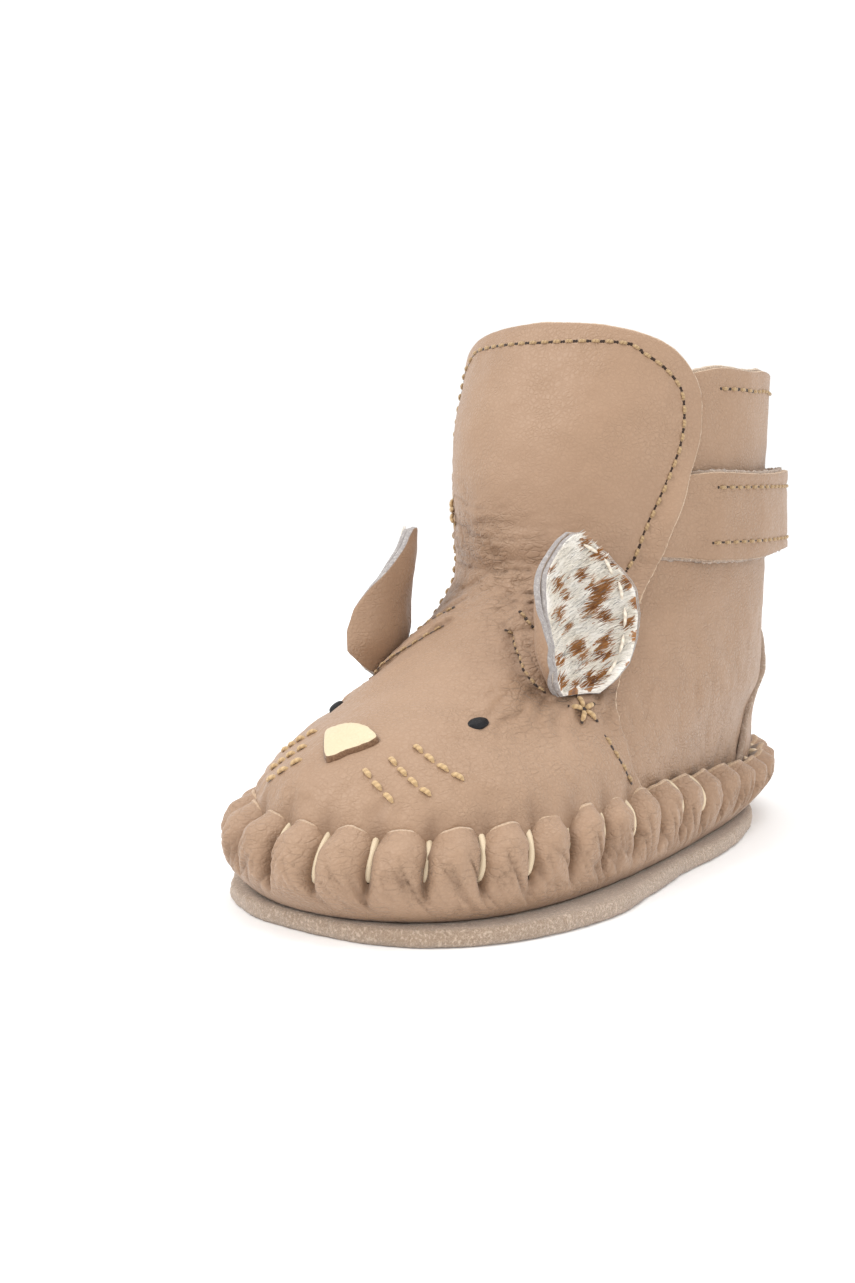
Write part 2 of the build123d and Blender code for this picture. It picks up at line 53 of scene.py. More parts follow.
# The upper as rows of height, toe end, heel end, half width, taper towards the heel, squareness
UPPER = [
    (4, -61.0, 67.0, 29.5, 0.20, 0.14),
    (12, -63.0, 69.0, 30.0, 0.18, 0.13),
    (18, -62.5, 70.0, 29.5, 0.15, 0.11),
    (24, -57.5, 70.0, 28.5, 0.03, 0.07),
    (29, -49.0, 69.8, 27.5, -0.16, 0.03),
    (34, -36.5, 69.2, 27.0, -0.20, 0.00),
    (41, -20.5, 68.0, 27.0, -0.14, 0.00),
    (49, -8.0, 66.5, 27.5, -0.08, 0.01),
    (58, -5.5, 65.0, 28.0, -0.05, 0.02),
    (68, -4.5, 64.0, 28.5, -0.03, 0.02),
    (78, -2.5, 63.2, 28.8, -0.02, 0.02),
    (90, 2.0, 62.5, 29.0, -0.02, 0.02),
    (99, 6.0, 62.0, 29.2, -0.02, 0.02),
]
# The gathered wrap around the foot, in the same columns
WRAP = [
    (3.0, -64.0, 65.0, 32.5, 0.14, 0.15),
    (7.0, -68.5, 71.0, 35.0, 0.11, 0.16),
    (11.0, -69.5, 73.5, 35.5, 0.11, 0.16),
    (14.5, -68.0, 73.5, 34.5, 0.12, 0.15),
    (18.0, -65.5, 72.0, 32.8, 0.13, 0.14),
]
WRAP_TOP = [(-85, 16.4), (-40, 16.6), (-5, 16.2), (20, 15.2), (40, 13.6), (60, 12.8), (85, 13)]
OUTSOLE_SIDE = [(14, -64), (24, -58.5), (32, -47.5), (36.2, -30), (34.8, -14), (32.6, 2), (32, 16), (29, 32),
                (23, 48), (12, 61.5)]
OUTSOLE_TOE = (2.0, -65.3)
OUTSOLE_HEEL = (0.0, 66.0)
TOE_LEAN = 2.0
# Edge of the vamp and flap seen from the side, as height and y, from the sole up, then its round corner
SEAM_LINE = [(2, -4), (13, -9), (22, -12.5), (30, -9.5), (38.5, -1.5), (45, 3.5), (51, 7), (56, 8.5),
             (61.5, 10), (70, 13), (77, 15.5), (84, 16.5)]
FLAP_CORNER = [(84, 16.5), (88.5, 15.5), (93.5, 12.5), (96.5, 8.5), (98.0, 5.2)]
VAMP_OUT = 1.25
FLAP_OUT = 1.6
FOLD_HEIGHT = 56.2
FOLD_TILT = math.radians(22.2)
STRAP_LOW = 54.5
STRAP_HIGH = 71.0
STRAP_HINGE_Y = 52.0
LACE_COUNT = 38
LACE_HOLE_HEIGHT = 9.6
STRAP_MIDDLE = 62.5
STRAP_SEWN = (STRAP_LOW + 3.4, STRAP_HIGH - 3.0)  # heights of its two rows of stitches
WRAP_FOOT = 3.2  # where the wrap's outside starts, above the ground
WRAP_MIDDLE = 13.0  # height at which the laces are evenly spaced
THICK = 1.15  # leather of the vamp and the quarter
LINING_INSIDE = 1.25  # face of the linings, inside the leather's face
HALF_WIDTH = 29.0  # of the upper, to turn angles into millimetres


# ---------------------------------------------------------------- shape of the foot


def row_at(rows, height):
    """Columns of the rows at each height, on a smooth curve through them."""
    rows = np.array(rows, float)
    heights = rows[:, 0]
    count = len(rows)
    before = rows[np.maximum(np.arange(count) - 1, 0)]
    after = rows[np.minimum(np.arange(count) + 1, count - 1)]
    slopes = (after - before) / (after[:, :1] - before[:, :1])
    height = np.clip(np.asarray(height, float), heights[0], heights[-1])
    low = np.clip(np.searchsorted(heights, height, side="right") - 1, 0, count - 2)
    span = heights[low + 1] - heights[low]
    u = ((height - heights[low]) / span)[..., None]
    span = span[..., None]
    values = (
        (2 * u**3 - 3 * u**2 + 1) * rows[low]
        + (u**3 - 2 * u**2 + u) * span * slopes[low]
        + (3 * u**2 - 2 * u**3) * rows[low + 1]
        + (u**3 - u**2) * span * slopes[low + 1]
    )
    return np.moveaxis(values, -1, 0)[1:]


def plan(rows, turn, height):
    toe, heel, half_width, taper, square = row_at(rows, height)
    y = (toe + heel) / 2 - (heel - toe) / 2 * np.cos(turn)
    x = half_width * np.sin(turn) * (1 + square / 2 + taper * np.cos(turn) + square * np.cos(2 * turn))
    return x, y


def surface(rows, turn, height, out=0.0):
    """Points `out` outside the surface; turn 0 is the toe, pi/2 the outer side, pi the heel."""
    turn, height, out = np.broadcast_arrays(np.asarray(turn, float), np.asarray(height, float), out)
    source = height - out
    step = 1e-4
    x0, y0 = plan(rows, turn - step, source)
    x1, y1 = plan(rows, turn + step, source)
    length = np.hypot(x1 - x0, y1 - y0)
    x, y = plan(rows, turn, source)
    x = x + out * (y1 - y0) / length
    y = y - out * (x1 - x0) / length
    lean = TOE_LEAN * np.clip((20 - y) / 80, 0, 1) * np.clip((50 - source) / 25, 0, 1)
    return np.stack([x + lean, y, height], axis=-1)


def unit(ways):
    return ways / (np.linalg.norm(ways, axis=-1, keepdims=True) + 1e-12)


def way_out(rows, turn, height, out=0.0):
    """Outward unit direction of the surface."""
    here = surface(rows, turn, height, out)
    across = surface(rows, np.asarray(turn) + 0.01, height, out) - here
    up = surface(rows, turn, np.asarray(height) + 0.1, out) - here
    return unit(np.cross(across, up))


def side_turn(y, height):
    """Turn on the outer side of the point at this y and height."""
    toe, heel = row_at(UPPER, height)[:2]
    return np.arccos(np.clip(((toe + heel) / 2 - y) / ((heel - toe) / 2), -1, 1))


def smooth_step(low, high, value):
    t = np.clip((value - low) / (high - low), 0, 1)
    return t * t * (3 - 2 * t)


def bell(value, centre, width):
    return np.exp(-(((value - centre) / width) ** 2))


def rough(points, size, seed=0, octaves=3):
    """Fractal noise from about -1 to 1 at points in millimetres, whose largest lumps have this size."""
    shift = Vector((seed * 17.3, seed * 5.1, seed * 9.7))
    flat = np.asarray(points, float).reshape(-1, 3) / size
    basis = "PERLIN_ORIGINAL"
    values = [noise.fractal(Vector(p) + shift, 1.0, 2.1, octaves, noise_basis=basis) for p in flat]
    return np.array(values).reshape(np.shape(points)[:-1])


def creases(points, size, seed=0):
    """Thin valleys, from 0 on open leather to 1 in a crease."""
    return np.clip(1 - np.abs(rough(points, size, seed, 2)) * 5, 0, 1) ** 2


def grid_normals(points):
    return unit(np.cross(np.gradient(points, axis=1), np.gradient(points, axis=0)))


def travelled(points):
    """Distance along a line up to each of its points."""
    return np.concatenate([[0], np.cumsum(np.linalg.norm(np.diff(points, axis=0), axis=1))])


# ---------------------------------------------------------------- meshes


def linked(name, data):
    """Object of this data, in the scene."""
    obj = bpy.data.objects.new(name, data)
    bpy.context.scene.collection.objects.link(obj)
    return obj


def new_object(name, verts, faces, materials=(), face_materials=None, values=None, edges=()):
    """Mesh object from points in millimetres; values are attributes of its points."""
    mesh = bpy.data.meshes.new(name)
    mesh.from_pydata((np.asarray(verts) * MM).tolist(), edges, [tuple(f) for f in faces])
    for material in materials:
        mesh.materials.append(material)
    if face_materials is not None:
        mesh.polygons.foreach_set("material_index", np.asarray(face_materials, dtype=np.int32))
    for key, data in (values or {}).items():
        data = np.asarray(data, dtype=np.float32)
        vectors = data.ndim == 2
        attribute = mesh.attributes.new(key, "FLOAT_VECTOR" if vectors else "FLOAT", "POINT")
        attribute.data.foreach_set("vector" if vectors else "value", data.ravel())
    mesh.polygons.foreach_set("use_smooth", np.ones(len(mesh.polygons), dtype=bool))
    mesh.validate()
    mesh.update()
    return linked(name, mesh)


def grid_quads(rows, cols, closed=False, start=0, flip=False):
    across = cols if closed else cols - 1
    j, i = np.meshgrid(np.arange(rows - 1), np.arange(across), indexing="ij")
    right = (i + 1) % cols
    quads = np.stack([j * cols + i, j * cols + right, (j + 1) * cols + right, (j + 1) * cols + i], axis=-1)
    quads = quads.reshape(-1, 4) + start
    return quads[:, ::-1] if flip else quads


def panel(name, front, thickness, materials, values=None, fuzz=0.06, bulge=0.12):
    """A piece of leather: its face, its back `thickness` behind and a rounded raw edge between them.
    materials are those of the face, the back and the edge."""
    rows, cols = front.shape[:2]
    total = rows * cols
    index = np.arange(total).reshape(rows, cols)
    loop = np.concatenate([index[0], index[1:, -1], index[-1, -2::-1], index[-2:0:-1, 0]])
    count = len(loop)
    face = front.reshape(-1, 3)
    back = (front - grid_normals(front) * thickness).reshape(-1, 3)
    middle = (face[loop] + back[loop]) / 2
    away = unit(np.cross(np.roll(middle, -1, axis=0) - np.roll(middle, 1, axis=0), face[loop] - back[loop]))
    rings = []
    for share, reach in ((0.2, 0.8), (0.5, 1.0), (0.8, 0.8)):
        place = face[loop] * (1 - share) + back[loop] * share
        rings.append(place + away * (bulge * reach + rough(place + share * 7, 0.9, 3, 2)[:, None] * fuzz))
    faces = [grid_quads(rows, cols), grid_quads(rows, cols, start=total, flip=True)]
    loops = [loop, *(2 * total + k * count + np.arange(count) for k in range(3)), loop + total]
    for first, second in zip(loops, loops[1:]):
        faces.append(np.stack([np.roll(first, -1), first, second, np.roll(second, -1)], axis=1))
    kinds = np.repeat([0, 1, 2], [len(faces[0]), len(faces[1]), 4 * count])
    data = {}
    for key, value in (values or {}).items():
        flat = value.reshape(total)
        data[key] = np.concatenate([flat, flat, *[flat[loop]] * 3])
    verts = np.concatenate([face, back, *rings])
    return new_object(name, verts, np.concatenate(faces), materials, kinds, data)


def shell(name, rings, materials, edge_bands=(), low=None, high=None):
    """Rings of points joined into a skin, which ends in the points low and high where they are given.
    The bands between rings that edge_bands lists take the second material."""
    rows, cols = np.shape(rings)[:2]
    verts = np.reshape(rings, (-1, 3))
    faces = grid_quads(rows, cols, closed=True).tolist()
    kinds = [int(k // cols in edge_bands) for k in range(len(faces))]
    ring = np.arange(cols)
    after = (ring + 1) % cols
    top = (rows - 1) * cols
    for pole, first, second in ((low, after, ring), (high, top + ring, top + after)):
        if pole is not None:
            faces += [(a, b, len(verts)) for a, b in zip(first.tolist(), second.tolist())]
            verts = np.append(verts, [pole], axis=0)
    return new_object(name, verts, faces, materials, kinds + [0] * (len(faces) - len(kinds)))


def settle(piece, body, slot=None, *replaced):
    """Puts a piece on its body and hides these CAD parts in its place. Given two bodies with the ends of
    their bend instead of a body, it only bakes the piece's transform. slot is not used."""
    if isinstance(body, str):
        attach(piece, body)
    else:
        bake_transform(piece)
    if replaced:
        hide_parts(*replaced)


# ---------------------------------------------------------------- shader helper


class Shade:
    """A shader socket that takes Python arithmetic."""

    def __init__(self, maker, socket):
        self.maker = maker
        self.socket = socket

    def math(self, operation, *values):
        return self.maker.node("ShaderNodeMath", {"operation": operation}, values)

    def __add__(self, other):
        return self.math("ADD", self, other)

    def __mul__(self, other):
        return self.math("MULTIPLY", self, other)

    def __sub__(self, other):
        return self.math("SUBTRACT", self, other)

    def __rsub__(self, other):
        return self.math("SUBTRACT", other, self)

    __radd__ = __add__
    __rmul__ = __mul__

    def clamp(self, low, high):
        """0 below low and 1 above high."""
        values = {"Value": self, "From Min": low, "From Max": high}
        return self.maker.node("ShaderNodeMapRange", {"clamp": True}, values)


class Maker:
    """Builds one material."""

    def __init__(self, name):
        self.material = bpy.data.materials.new(name)
        self.material.use_nodes = True
        self.tree = self.material.node_tree
        self.shader = self.tree.nodes["Principled BSDF"]

    def node(self, kind, settings, inputs, output=0):
        """A node of this type, with its settings and the values or links of its sockets."""
        made = self.tree.nodes.new(kind)
        for key, value in settings.items():
            setattr(made, key, value)
        for key, value in inputs.items() if isinstance(inputs, dict) else enumerate(inputs):
            self.feed(made.inputs[key], value)
        return Shade(self, made.outputs[output])

    def feed(self, socket, value):
        if isinstance(value, Shade):
            self.tree.links.new(value.socket, socket)
        elif socket.type == "RGBA":
            socket.default_value = (*value, 1.0)
        else:
            socket.default_value = value

    def coordinates(self, stretch=(1, 1, 1)):
        """Object coordinates in millimetres, stretched along the axes."""
        place = self.node("ShaderNodeTexCoord", {}, {}, "Object")
        return self.node("ShaderNodeMapping", {}, {"Vector": place, "Scale": [s / MM for s in stretch]})

    def noise(self, place, size, detail=3.0, roughness=0.55):
        values = {"Vector": place, "Scale": 1 / size, "Detail": detail, "Roughness": roughness}
        return self.node("ShaderNodeTexNoise", {}, values)

    def warped(self, place, size, reach):
        """The place pushed about by noise of this size."""
        values = {0: self.noise(place, size, 2.0), "Scale": reach}
        push = self.node("ShaderNodeVectorMath", {"operation": "SCALE"}, values)
        return self.node("ShaderNodeVectorMath", {"operation": "ADD"}, [place, push])

    def cells(self, place, size, feature="DISTANCE_TO_EDGE", randomness=1.0):
        """Cells of this size: how far each point is from their edge, or with F1 from their middle."""
        values = {"Vector": place, "Scale": 1 / size, "Randomness": randomness}
        return self.node("ShaderNodeTexVoronoi", {"feature": feature}, values)

    def attribute(self, name, output="Fac"):
        return self.node("ShaderNodeAttribute", {"attribute_name": name}, {}, output)

    def mix(self, factor, first, second):
        return self.node("ShaderNodeMix", {"data_type": "RGBA"}, {0: factor, 6: first, 7: second}, 2)

    def bump(self, height, strength, depth):
        values = {"Height": height, "Strength": strength, "Distance": depth * MM}
        return self.node("ShaderNodeBump", {}, values)

    def finish(self, colour, roughness, normal=None, **plain):
        self.feed(self.shader.inputs["Base Color"], colour)
        self.feed(self.shader.inputs["Roughness"], roughness)
        if normal is not None:
            self.feed(self.shader.inputs["Normal"], normal)
        for key, value in plain.items():
            self.feed(self.shader.inputs[key.replace("_", " ")], value)
        return self.material


# ---------------------------------------------------------------- materials


def smooth_leather(name, base=(0.335, 0.21, 0.131), dark=(0.15, 0.083, 0.045), light=(0.395, 0.258, 0.169)):
    """Drum-dyed soft leather: fine pebble grain, drawn-out wrinkles, painted shade in the creases, shiny
    high spots.
    """
    m = Maker(name)
    place = m.coordinates()
    bent = m.warped(place, 2.6, 0.9)
    pebbles = m.cells(bent, 0.85).clamp(0.0, 0.28)
    fine = m.cells(bent, 0.4).clamp(0.0, 0.35)
    patches = m.noise(place, 9.0, 2.0).clamp(0.42, 0.62)
    lines = m.node("ShaderNodeVectorMath", {"operation": "MULTIPLY"}, [bent, (0.55, 0.55, 1.35)])
    broken = m.noise(place, 3.5, 2.0).clamp(0.34, 0.58)
    wrinkles = 1 - (1 - m.cells(lines, 1.15).clamp(0.0, 0.16)) * broken
    worn = m.attribute("worn")
    clouds = m.noise(place, 22.0, 3.0).clamp(0.3, 0.7)
    height = pebbles * (0.16 + patches * 0.40) + fine * 0.12 + wrinkles * worn * 1.25
    normal = m.bump(height, 0.62, 0.22)
    tone = m.mix(clouds * 0.6, base, light)
    tone = m.mix((1 - pebbles) * 0.10 + (1 - wrinkles) * worn * 0.17, tone, dark)
    # Painted shade: darkens the tone towards the dark colour where the attribute marks creases, folds,
    # pinches and tucks.
    tone = m.mix(m.attribute("painted_shade") * 0.6, tone, dark)
    shine = 0.40 + (1 - pebbles) * 0.14 + clouds * 0.08
    return m.finish(tone, shine, normal, IOR=1.45, Sheen_Weight=0.12, Sheen_Roughness=0.5,
                    Specular_IOR_Level=0.42)


def raw_edge(name, base=(0.62, 0.46, 0.32), dark=(0.36, 0.235, 0.14)):
    """Cut edge of leather: pale packed fibres."""
    m = Maker(name)
    place = m.coordinates()
    fibres = m.noise(place, 0.35, 4.0, 0.7)
    normal = m.bump(fibres, 0.6, 0.25)
    tone = m.mix(fibres.clamp(0.3, 0.7), dark, base)
    return m.finish(tone, 0.85, normal, Sheen_Weight=0.3, Specular_IOR_Level=0.2)


def suede(name, base, dark, light, size=0.55):
    """Brushed suede or rough split leather: a mottled nap."""
    m = Maker(name)
    place = m.coordinates()
    nap = m.noise(place, size, 5.0, 0.75)
    specks = m.noise(place, size * 1.7, 2.0, 0.5)
    clouds = m.noise(place, 12.0, 3.0)
    normal = m.bump(nap, 0.75, 0.45)
    tone = m.mix(nap.clamp(0.34, 0.64), dark, base)
    tone = m.mix(specks.clamp(0.52, 0.68) * 0.8, tone, light)
    tone = m.mix(clouds.clamp(0.4, 0.7) * 0.3, tone, dark)
    return m.finish(tone, 0.95, normal, Sheen_Weight=0.45, Sheen_Roughness=0.6, Specular_IOR_Level=0.15)


def twisted(name, base, dark, light, turns=3.0, roughness=0.55):
    """Plied thread: strands that wind round the attribute `along`, seen from `around`."""
    m = Maker(name)
    strand = (m.attribute("along") * turns + m.attribute("around")) * (2 * math.pi)
    wave = strand.math("SINE", strand) * 0.5 + 0.5
    fibres = m.noise(m.coordinates(), 0.12, 3.0)
    normal = m.bump(wave + fibres * 0.3, 0.5, 0.10)
    tone = m.mix(wave * 0.5 + 0.5, dark, base)
    tone = m.mix(fibres.clamp(0.5, 0.75) * 0.6, tone, light)
    return m.finish(tone, roughness, normal, Sheen_Weight=0.2, Specular_IOR_Level=0.35)


def hide_colour(m, place):
    """White hair with brown spots."""
    spots = m.cells(m.warped(place, 2.2, 2.4), 3.7, "F1") + (m.noise(place, 0.9, 2.0) - 0.5) * 0.45
    spots = spots + (m.noise(place, 8.0, 1.0) - 0.5) * 0.5
    mask = 1 - spots.clamp(0.33, 0.38)
    brown = m.mix(spots.clamp(0.05, 0.26), (0.13, 0.038, 0.008), (0.36, 0.15, 0.036))
    white = m.mix(m.noise(place, 3.0, 2.0).clamp(0.35, 0.7), (0.78, 0.72, 0.62), (0.92, 0.88, 0.82))
    return m.mix(mask, white, brown)


def ear_hair(name):
    """Single hairs, coloured by the place of their root on the hide."""
    m = Maker(name)
    tone = m.mix(m.attribute("grey"), hide_colour(m, m.attribute("root", "Vector")), (0.16, 0.15, 0.145))
    return m.finish(tone, 0.55, Specular_IOR_Level=0.3)


def ear_hide(name):
    """Short-haired hide under the single hairs, with the shadows between them."""
    m = Maker(name)
    streaks = m.noise(m.coordinates((0.25, 0.5, 2.2)), 0.35, 3.0)
    tone = m.mix((1 - streaks.clamp(0.4, 0.55)) * 0.35, hide_colour(m, m.coordinates()), (0.2, 0.18, 0.17))
    return m.finish(tone, 0.8, m.bump(streaks, 0.6, 0.3), Sheen_Weight=0.2)


def woven_pile(name, base, dark):
    """Hook-and-loop pad: dense little loops."""
    m = Maker(name)
    loops = m.cells(m.coordinates(), 0.55, "F1", 0.5)
    return m.finish(m.mix(loops.clamp(0.1, 0.6), base, dark), 0.9, m.bump(loops, 0.8, 0.35))


def dark_bead(name):
    """Black leather dot with a fine grain."""
    m = Maker(name)
    place = m.coordinates()
    grain = m.cells(place, 0.45).clamp(0.0, 0.3)
    tone = m.mix(m.noise(place, 1.2, 2.0), (0.003, 0.003, 0.004), (0.010, 0.010, 0.012))
    return m.finish(tone, 0.42 + (1 - grain) * 0.12, m.bump(grain, 0.35, 0.1), Specular_IOR_Level=0.25)


LEATHER_MAT = smooth_leather("taupe_leather")
STRAP_MAT = smooth_leather("strap_leather", base=(0.320, 0.200, 0.124))
EDGE_MAT = raw_edge("cut_leather_edge")
LINING_MAT = suede("lining_leather", (0.50, 0.38, 0.27), (0.36, 0.25, 0.17), (0.62, 0.50, 0.38), 0.4)
LINING_EDGE_MAT = raw_edge("lining_edge", (0.66, 0.55, 0.43), (0.42, 0.31, 0.22))
SOLE_MAT = suede("sole_suede", (0.52, 0.39, 0.285), (0.34, 0.235, 0.16), (0.68, 0.54, 0.42), 0.3)
SOLE_SIDE_MAT = suede("sole_suede_side", (0.50, 0.37, 0.265), (0.28, 0.185, 0.12), (0.68, 0.54, 0.42), 0.28)
FLESH_MAT = suede("strap_flesh_side", (0.46, 0.345, 0.26), (0.33, 0.225, 0.155), (0.60, 0.49, 0.39), 0.4)
FELT_MAT = suede("insole_felt", (0.62, 0.55, 0.44), (0.47, 0.40, 0.31), (0.74, 0.68, 0.58), 0.7)
THREAD_MAT = twisted("sewing_thread", (0.42, 0.28, 0.14), (0.17, 0.095, 0.04), (0.58, 0.42, 0.24))
FACE_THREAD_MAT = twisted("face_thread", (0.56, 0.38, 0.19), (0.25, 0.145, 0.06), (0.72, 0.54, 0.32))
EAR_THREAD_MAT = twisted("ear_thread", (0.80, 0.72, 0.60), (0.45, 0.36, 0.26), (0.9, 0.85, 0.76))
LACE_MAT = twisted("waxed_lace", (0.66, 0.53, 0.36), (0.47, 0.35, 0.215), (0.80, 0.70, 0.54), 0.5, 0.42)
# Near-black: painted shade inside the needle and lace holes.
HOLE_SHADE_MAT = raw_edge("needle_hole_shade", (0.045, 0.022, 0.012), (0.02, 0.010, 0.006))
NOSE_MAT = smooth_leather("nose_leather", (0.62, 0.51, 0.33), (0.45, 0.34, 0.20), (0.70, 0.60, 0.42))
NOSE_EDGE_MAT = raw_edge("nose_edge", (0.26, 0.15, 0.085), (0.12, 0.06, 0.03))
HIDE_MAT = ear_hide("ear_hide")
HIDE_EDGE_MAT = suede("ear_cut_edge", (0.40, 0.36, 0.34), (0.25, 0.22, 0.21), (0.54, 0.50, 0.47), 0.35)
HAIR_MAT = ear_hair("ear_hair")
EYE_MAT = dark_bead("eye_black")
PILE_MAT = woven_pile("fastener_pile", (0.42, 0.32, 0.23), (0.16, 0.11, 0.07))


# ---------------------------------------------------------------- repeated shapes


def node_group(name, steps):
    """Geometry node group: its steps, made real meshes with smooth shading and the material."""
    group = bpy.data.node_groups.new(name, "GeometryNodeTree")
    sockets = {"Geometry": "Geometry", "Shape": "Object", "Material": "Material", "Radius": "Float"}
    for label, kind in sockets.items():
        group.interface.new_socket(label, in_out="INPUT", socket_type="NodeSocket" + kind)
    group.interface.new_socket("Geometry", in_out="OUTPUT", socket_type="NodeSocketGeometry")
    wanted = group.nodes.new("NodeGroupInput").outputs

    def add(kind, values, **settings):
        """A node with its settings and the values or links of its sockets; gives its outputs."""
        made = group.nodes.new(kind)
        for key, value in settings.items():
            setattr(made, key, value)
        for key, value in values.items():
            if hasattr(value, "is_output"):
                group.links.new(value, made.inputs[key])
            else:
                made.inputs[key].default_value = value
        return made.outputs

    real = add("GeometryNodeRealizeInstances", {"Geometry": steps(add, wanted)})
    smooth = add("GeometryNodeSetShadeSmooth", {"Geometry": real[0]})
    painted = add("GeometryNodeSetMaterial", {"Geometry": smooth[0], "Material": wanted["Material"]})
    add("NodeGroupOutput", {"Geometry": painted[0]})
    return group


def place_steps(add, wanted):
    """An instance of the shape on every point, its X along the attribute `along` and its Z `outward`."""
    shape = add("GeometryNodeObjectInfo", {"Object": wanted["Shape"]})
    along, outward, size = (
        add("GeometryNodeInputNamedAttribute", {"Name": key}, data_type="FLOAT_VECTOR")["Attribute"]
        for key in ("along", "outward", "size"))
    turn = add("FunctionNodeAxesToRotation", {"Primary Axis": outward, "Secondary Axis": along},
               primary_axis="Z", secondary_axis="X")
    return add("GeometryNodeInstanceOnPoints", {
        "Points": wanted["Geometry"], "Instance": shape["Geometry"], "Rotation": turn[0], "Scale": size})[0]


def cord_steps(add, wanted):
    """A round cord along every line, with how far along and around it each point is."""
    path = add("GeometryNodeMeshToCurve", {"Mesh": wanted["Geometry"]})
    ring = add("GeometryNodeCurvePrimitiveCircle", {"Resolution": 10, "Radius": wanted["Radius"]})
    marked = []
    for curve, name in ((path, "along"), (ring, "around")):
        far = add("GeometryNodeSplineParameter", {})["Factor"]
        values = {"Geometry": curve[0], "Name": name, "Value": far}
        marked.append(add("GeometryNodeStoreNamedAttribute", values, data_type="FLOAT", domain="POINT")[0])
    values = {"Curve": marked[0], "Profile Curve": marked[1], "Fill Caps": True}
    return add("GeometryNodeCurveToMesh", values)[0]


PLACE_GROUP = node_group("place_shapes", place_steps)
CORD_GROUP = node_group("round_cords", cord_steps)


def grown(name, source, group, **values):
    """Plain mesh object made by running the group on the source object, with these values of its inputs."""
    modifier = source.modifiers.new("grow", "NODES")
    modifier.node_group = group
    for item in group.interface.items_tree:
        if item.in_out == "INPUT" and item.name in values:
            modifier[item.identifier] = values[item.name]
    bpy.context.view_layer.update()
    made = source.evaluated_get(bpy.context.evaluated_depsgraph_get())
    mesh = bpy.data.meshes.new_from_object(made)
    mesh.name = name
    bpy.data.objects.remove(source)
    return linked(name, mesh)


def placed(name, spots, shape, material, **extra):
    """Shapes at spots of (middle, along, outward, size) in millimetres."""
    middles, alongs, outwards, sizes = (np.array(part) for part in zip(*spots))
    values = {"along": alongs, "outward": outwards, "size": sizes, **extra}
    source = new_object(name + "_spots", middles, [], values=values)
    return grown(name, source, PLACE_GROUP, Shape=shape, Material=material)


def stitch_shape():
    """One stitch of length 1 along X and 0.7 mm across, bowed up in the middle and sinking at its ends."""
    x, turn = np.meshgrid(np.linspace(-0.5, 0.5, 7), np.arange(8) / 8, indexing="ij")
    swell = np.sqrt(np.maximum(0, 1 - (2 * x) ** 4)) * 0.85 + 0.12
    across = 0.36 * swell * np.cos(2 * math.pi * turn)
    up = 0.30 * swell * np.sin(2 * math.pi * turn) + 0.22 - 1.3 * x * x
    faces = grid_quads(7, 8, closed=True, flip=True).tolist() + [range(8), range(55, 47, -1)]
    values = {"around": turn.ravel(), "along": x.ravel() + 0.5}
    verts = np.stack([x, across, up], axis=-1).reshape(-1, 3)
    return new_object("stitch_shape", verts, faces, values=values)


def hole_shape():
    """Needle hole: a small dish 0.9 mm across, which its near-black material fills with painted shade."""
    turns = np.linspace(0, 2 * math.pi, 8, endpoint=False)
    verts = [(0, 0, 0.02)] + [(0.45 * math.cos(a), 0.42 * math.sin(a), -0.05) for a in turns]
    return new_object("hole_shape", verts, [(0, 1 + i, 1 + (i + 1) % 8) for i in range(8)])


def hair_shape():
    """One flat-lying hair of length 1 along X, rising a little and tapering to its tip."""
    verts = []
    for x, lift, wide in ((0, 0, 0.085), (0.4, 0.16, 0.075), (0.8, 0.26, 0.045)):
        verts += [(x, -wide, lift), (x, wide, lift), (x, 0, lift + wide * 1.3)]
    verts.append((1.0, 0, 0.30))
    faces = [(k + i, k + 3 + i, k + 3 + (i + 1) % 3, k + (i + 1) % 3) for k in (0, 3) for i in range(3)]
    return new_object("hair_shape", verts, faces + [(6, 9, 7), (7, 9, 8), (8, 9, 6), (0, 1, 2)])


STITCH = stitch_shape()
HOLE = hole_shape()
HAIR = hair_shape()


def smooth_path(points, count, closed=False):
    """Points of a smooth curve through the given ones, evenly spread."""
    points = np.array(points, float)
    total = len(points) if closed else len(points) - 1
    t = np.linspace(0, total, 40 * total + 1)
    low = np.minimum(t.astype(int), total - 1)
    u = (t - low)[:, None]

    def pick(shift):
        index = low + shift
        return points[index % len(points)] if closed else points[np.clip(index, 0, len(points) - 1)]

    a, b, c, d = pick(-1), pick(0), pick(1), pick(2)
    curve = 0.5 * (2 * b + (c - a) * u + (2 * a - 5 * b + 4 * c - d) * u**2 + (3 * b - a - 3 * c + d) * u**3)
    length = travelled(curve)
    wanted = np.linspace(0, length[-1], count, endpoint=not closed)
    return np.stack([np.interp(wanted, length, curve[:, k]) for k in range(curve.shape[1])], axis=1)


def stitch_row(skin, stops, pitch=2.5, fill=0.7, lift=0.0, loose=0.0):
    """Spans of a row of stitches along a smooth line through stops of (turn, height) on a skin."""
    line = smooth_path(stops, 600)
    length = travelled(skin(line[:, 0], line[:, 1]))
    count = max(1, round(length[-1] / pitch))
    step = length[-1] / count
    spans = []
    for i in range(count):
        ends = []
        for far in ((i + 0.5 - fill / 2) * step, (i + 0.5 + fill / 2) * step):
            turn, height = (np.interp(far, length, line[:, k]) for k in (0, 1))
            normal = way_out(UPPER, turn, height)
            ends.append((skin(turn, height) + normal * lift + rng.uniform(-loose, loose, 3), normal))
        spans.append((ends[0][0], ends[1][0], ends[0][1]))
    return spans


def sew(name, spans, material, body, replaced, wide=1.0, holes=True):
    """Threads of the spans, and the needle holes at their ends, riding on one body."""
    spots = []
    dents = []
    for start, end, normal in spans:
        length = float(np.linalg.norm(end - start))
        along = (end - start) / length
        spots.append(((start + end) / 2, along, normal, (length, wide, wide)))
        for place in (start - along * 0.12, end + along * 0.12):
            dents.append((place + normal * 0.04, along, normal, (0.9, 0.8, 1.0)))
    settle(placed(name, spots, STITCH, material), body, "thread", replaced)
    if holes:
        settle(placed(name + "_holes", dents, HOLE, HOLE_SHADE_MAT), body)


# ---------------------------------------------------------------- skins of the leather pieces

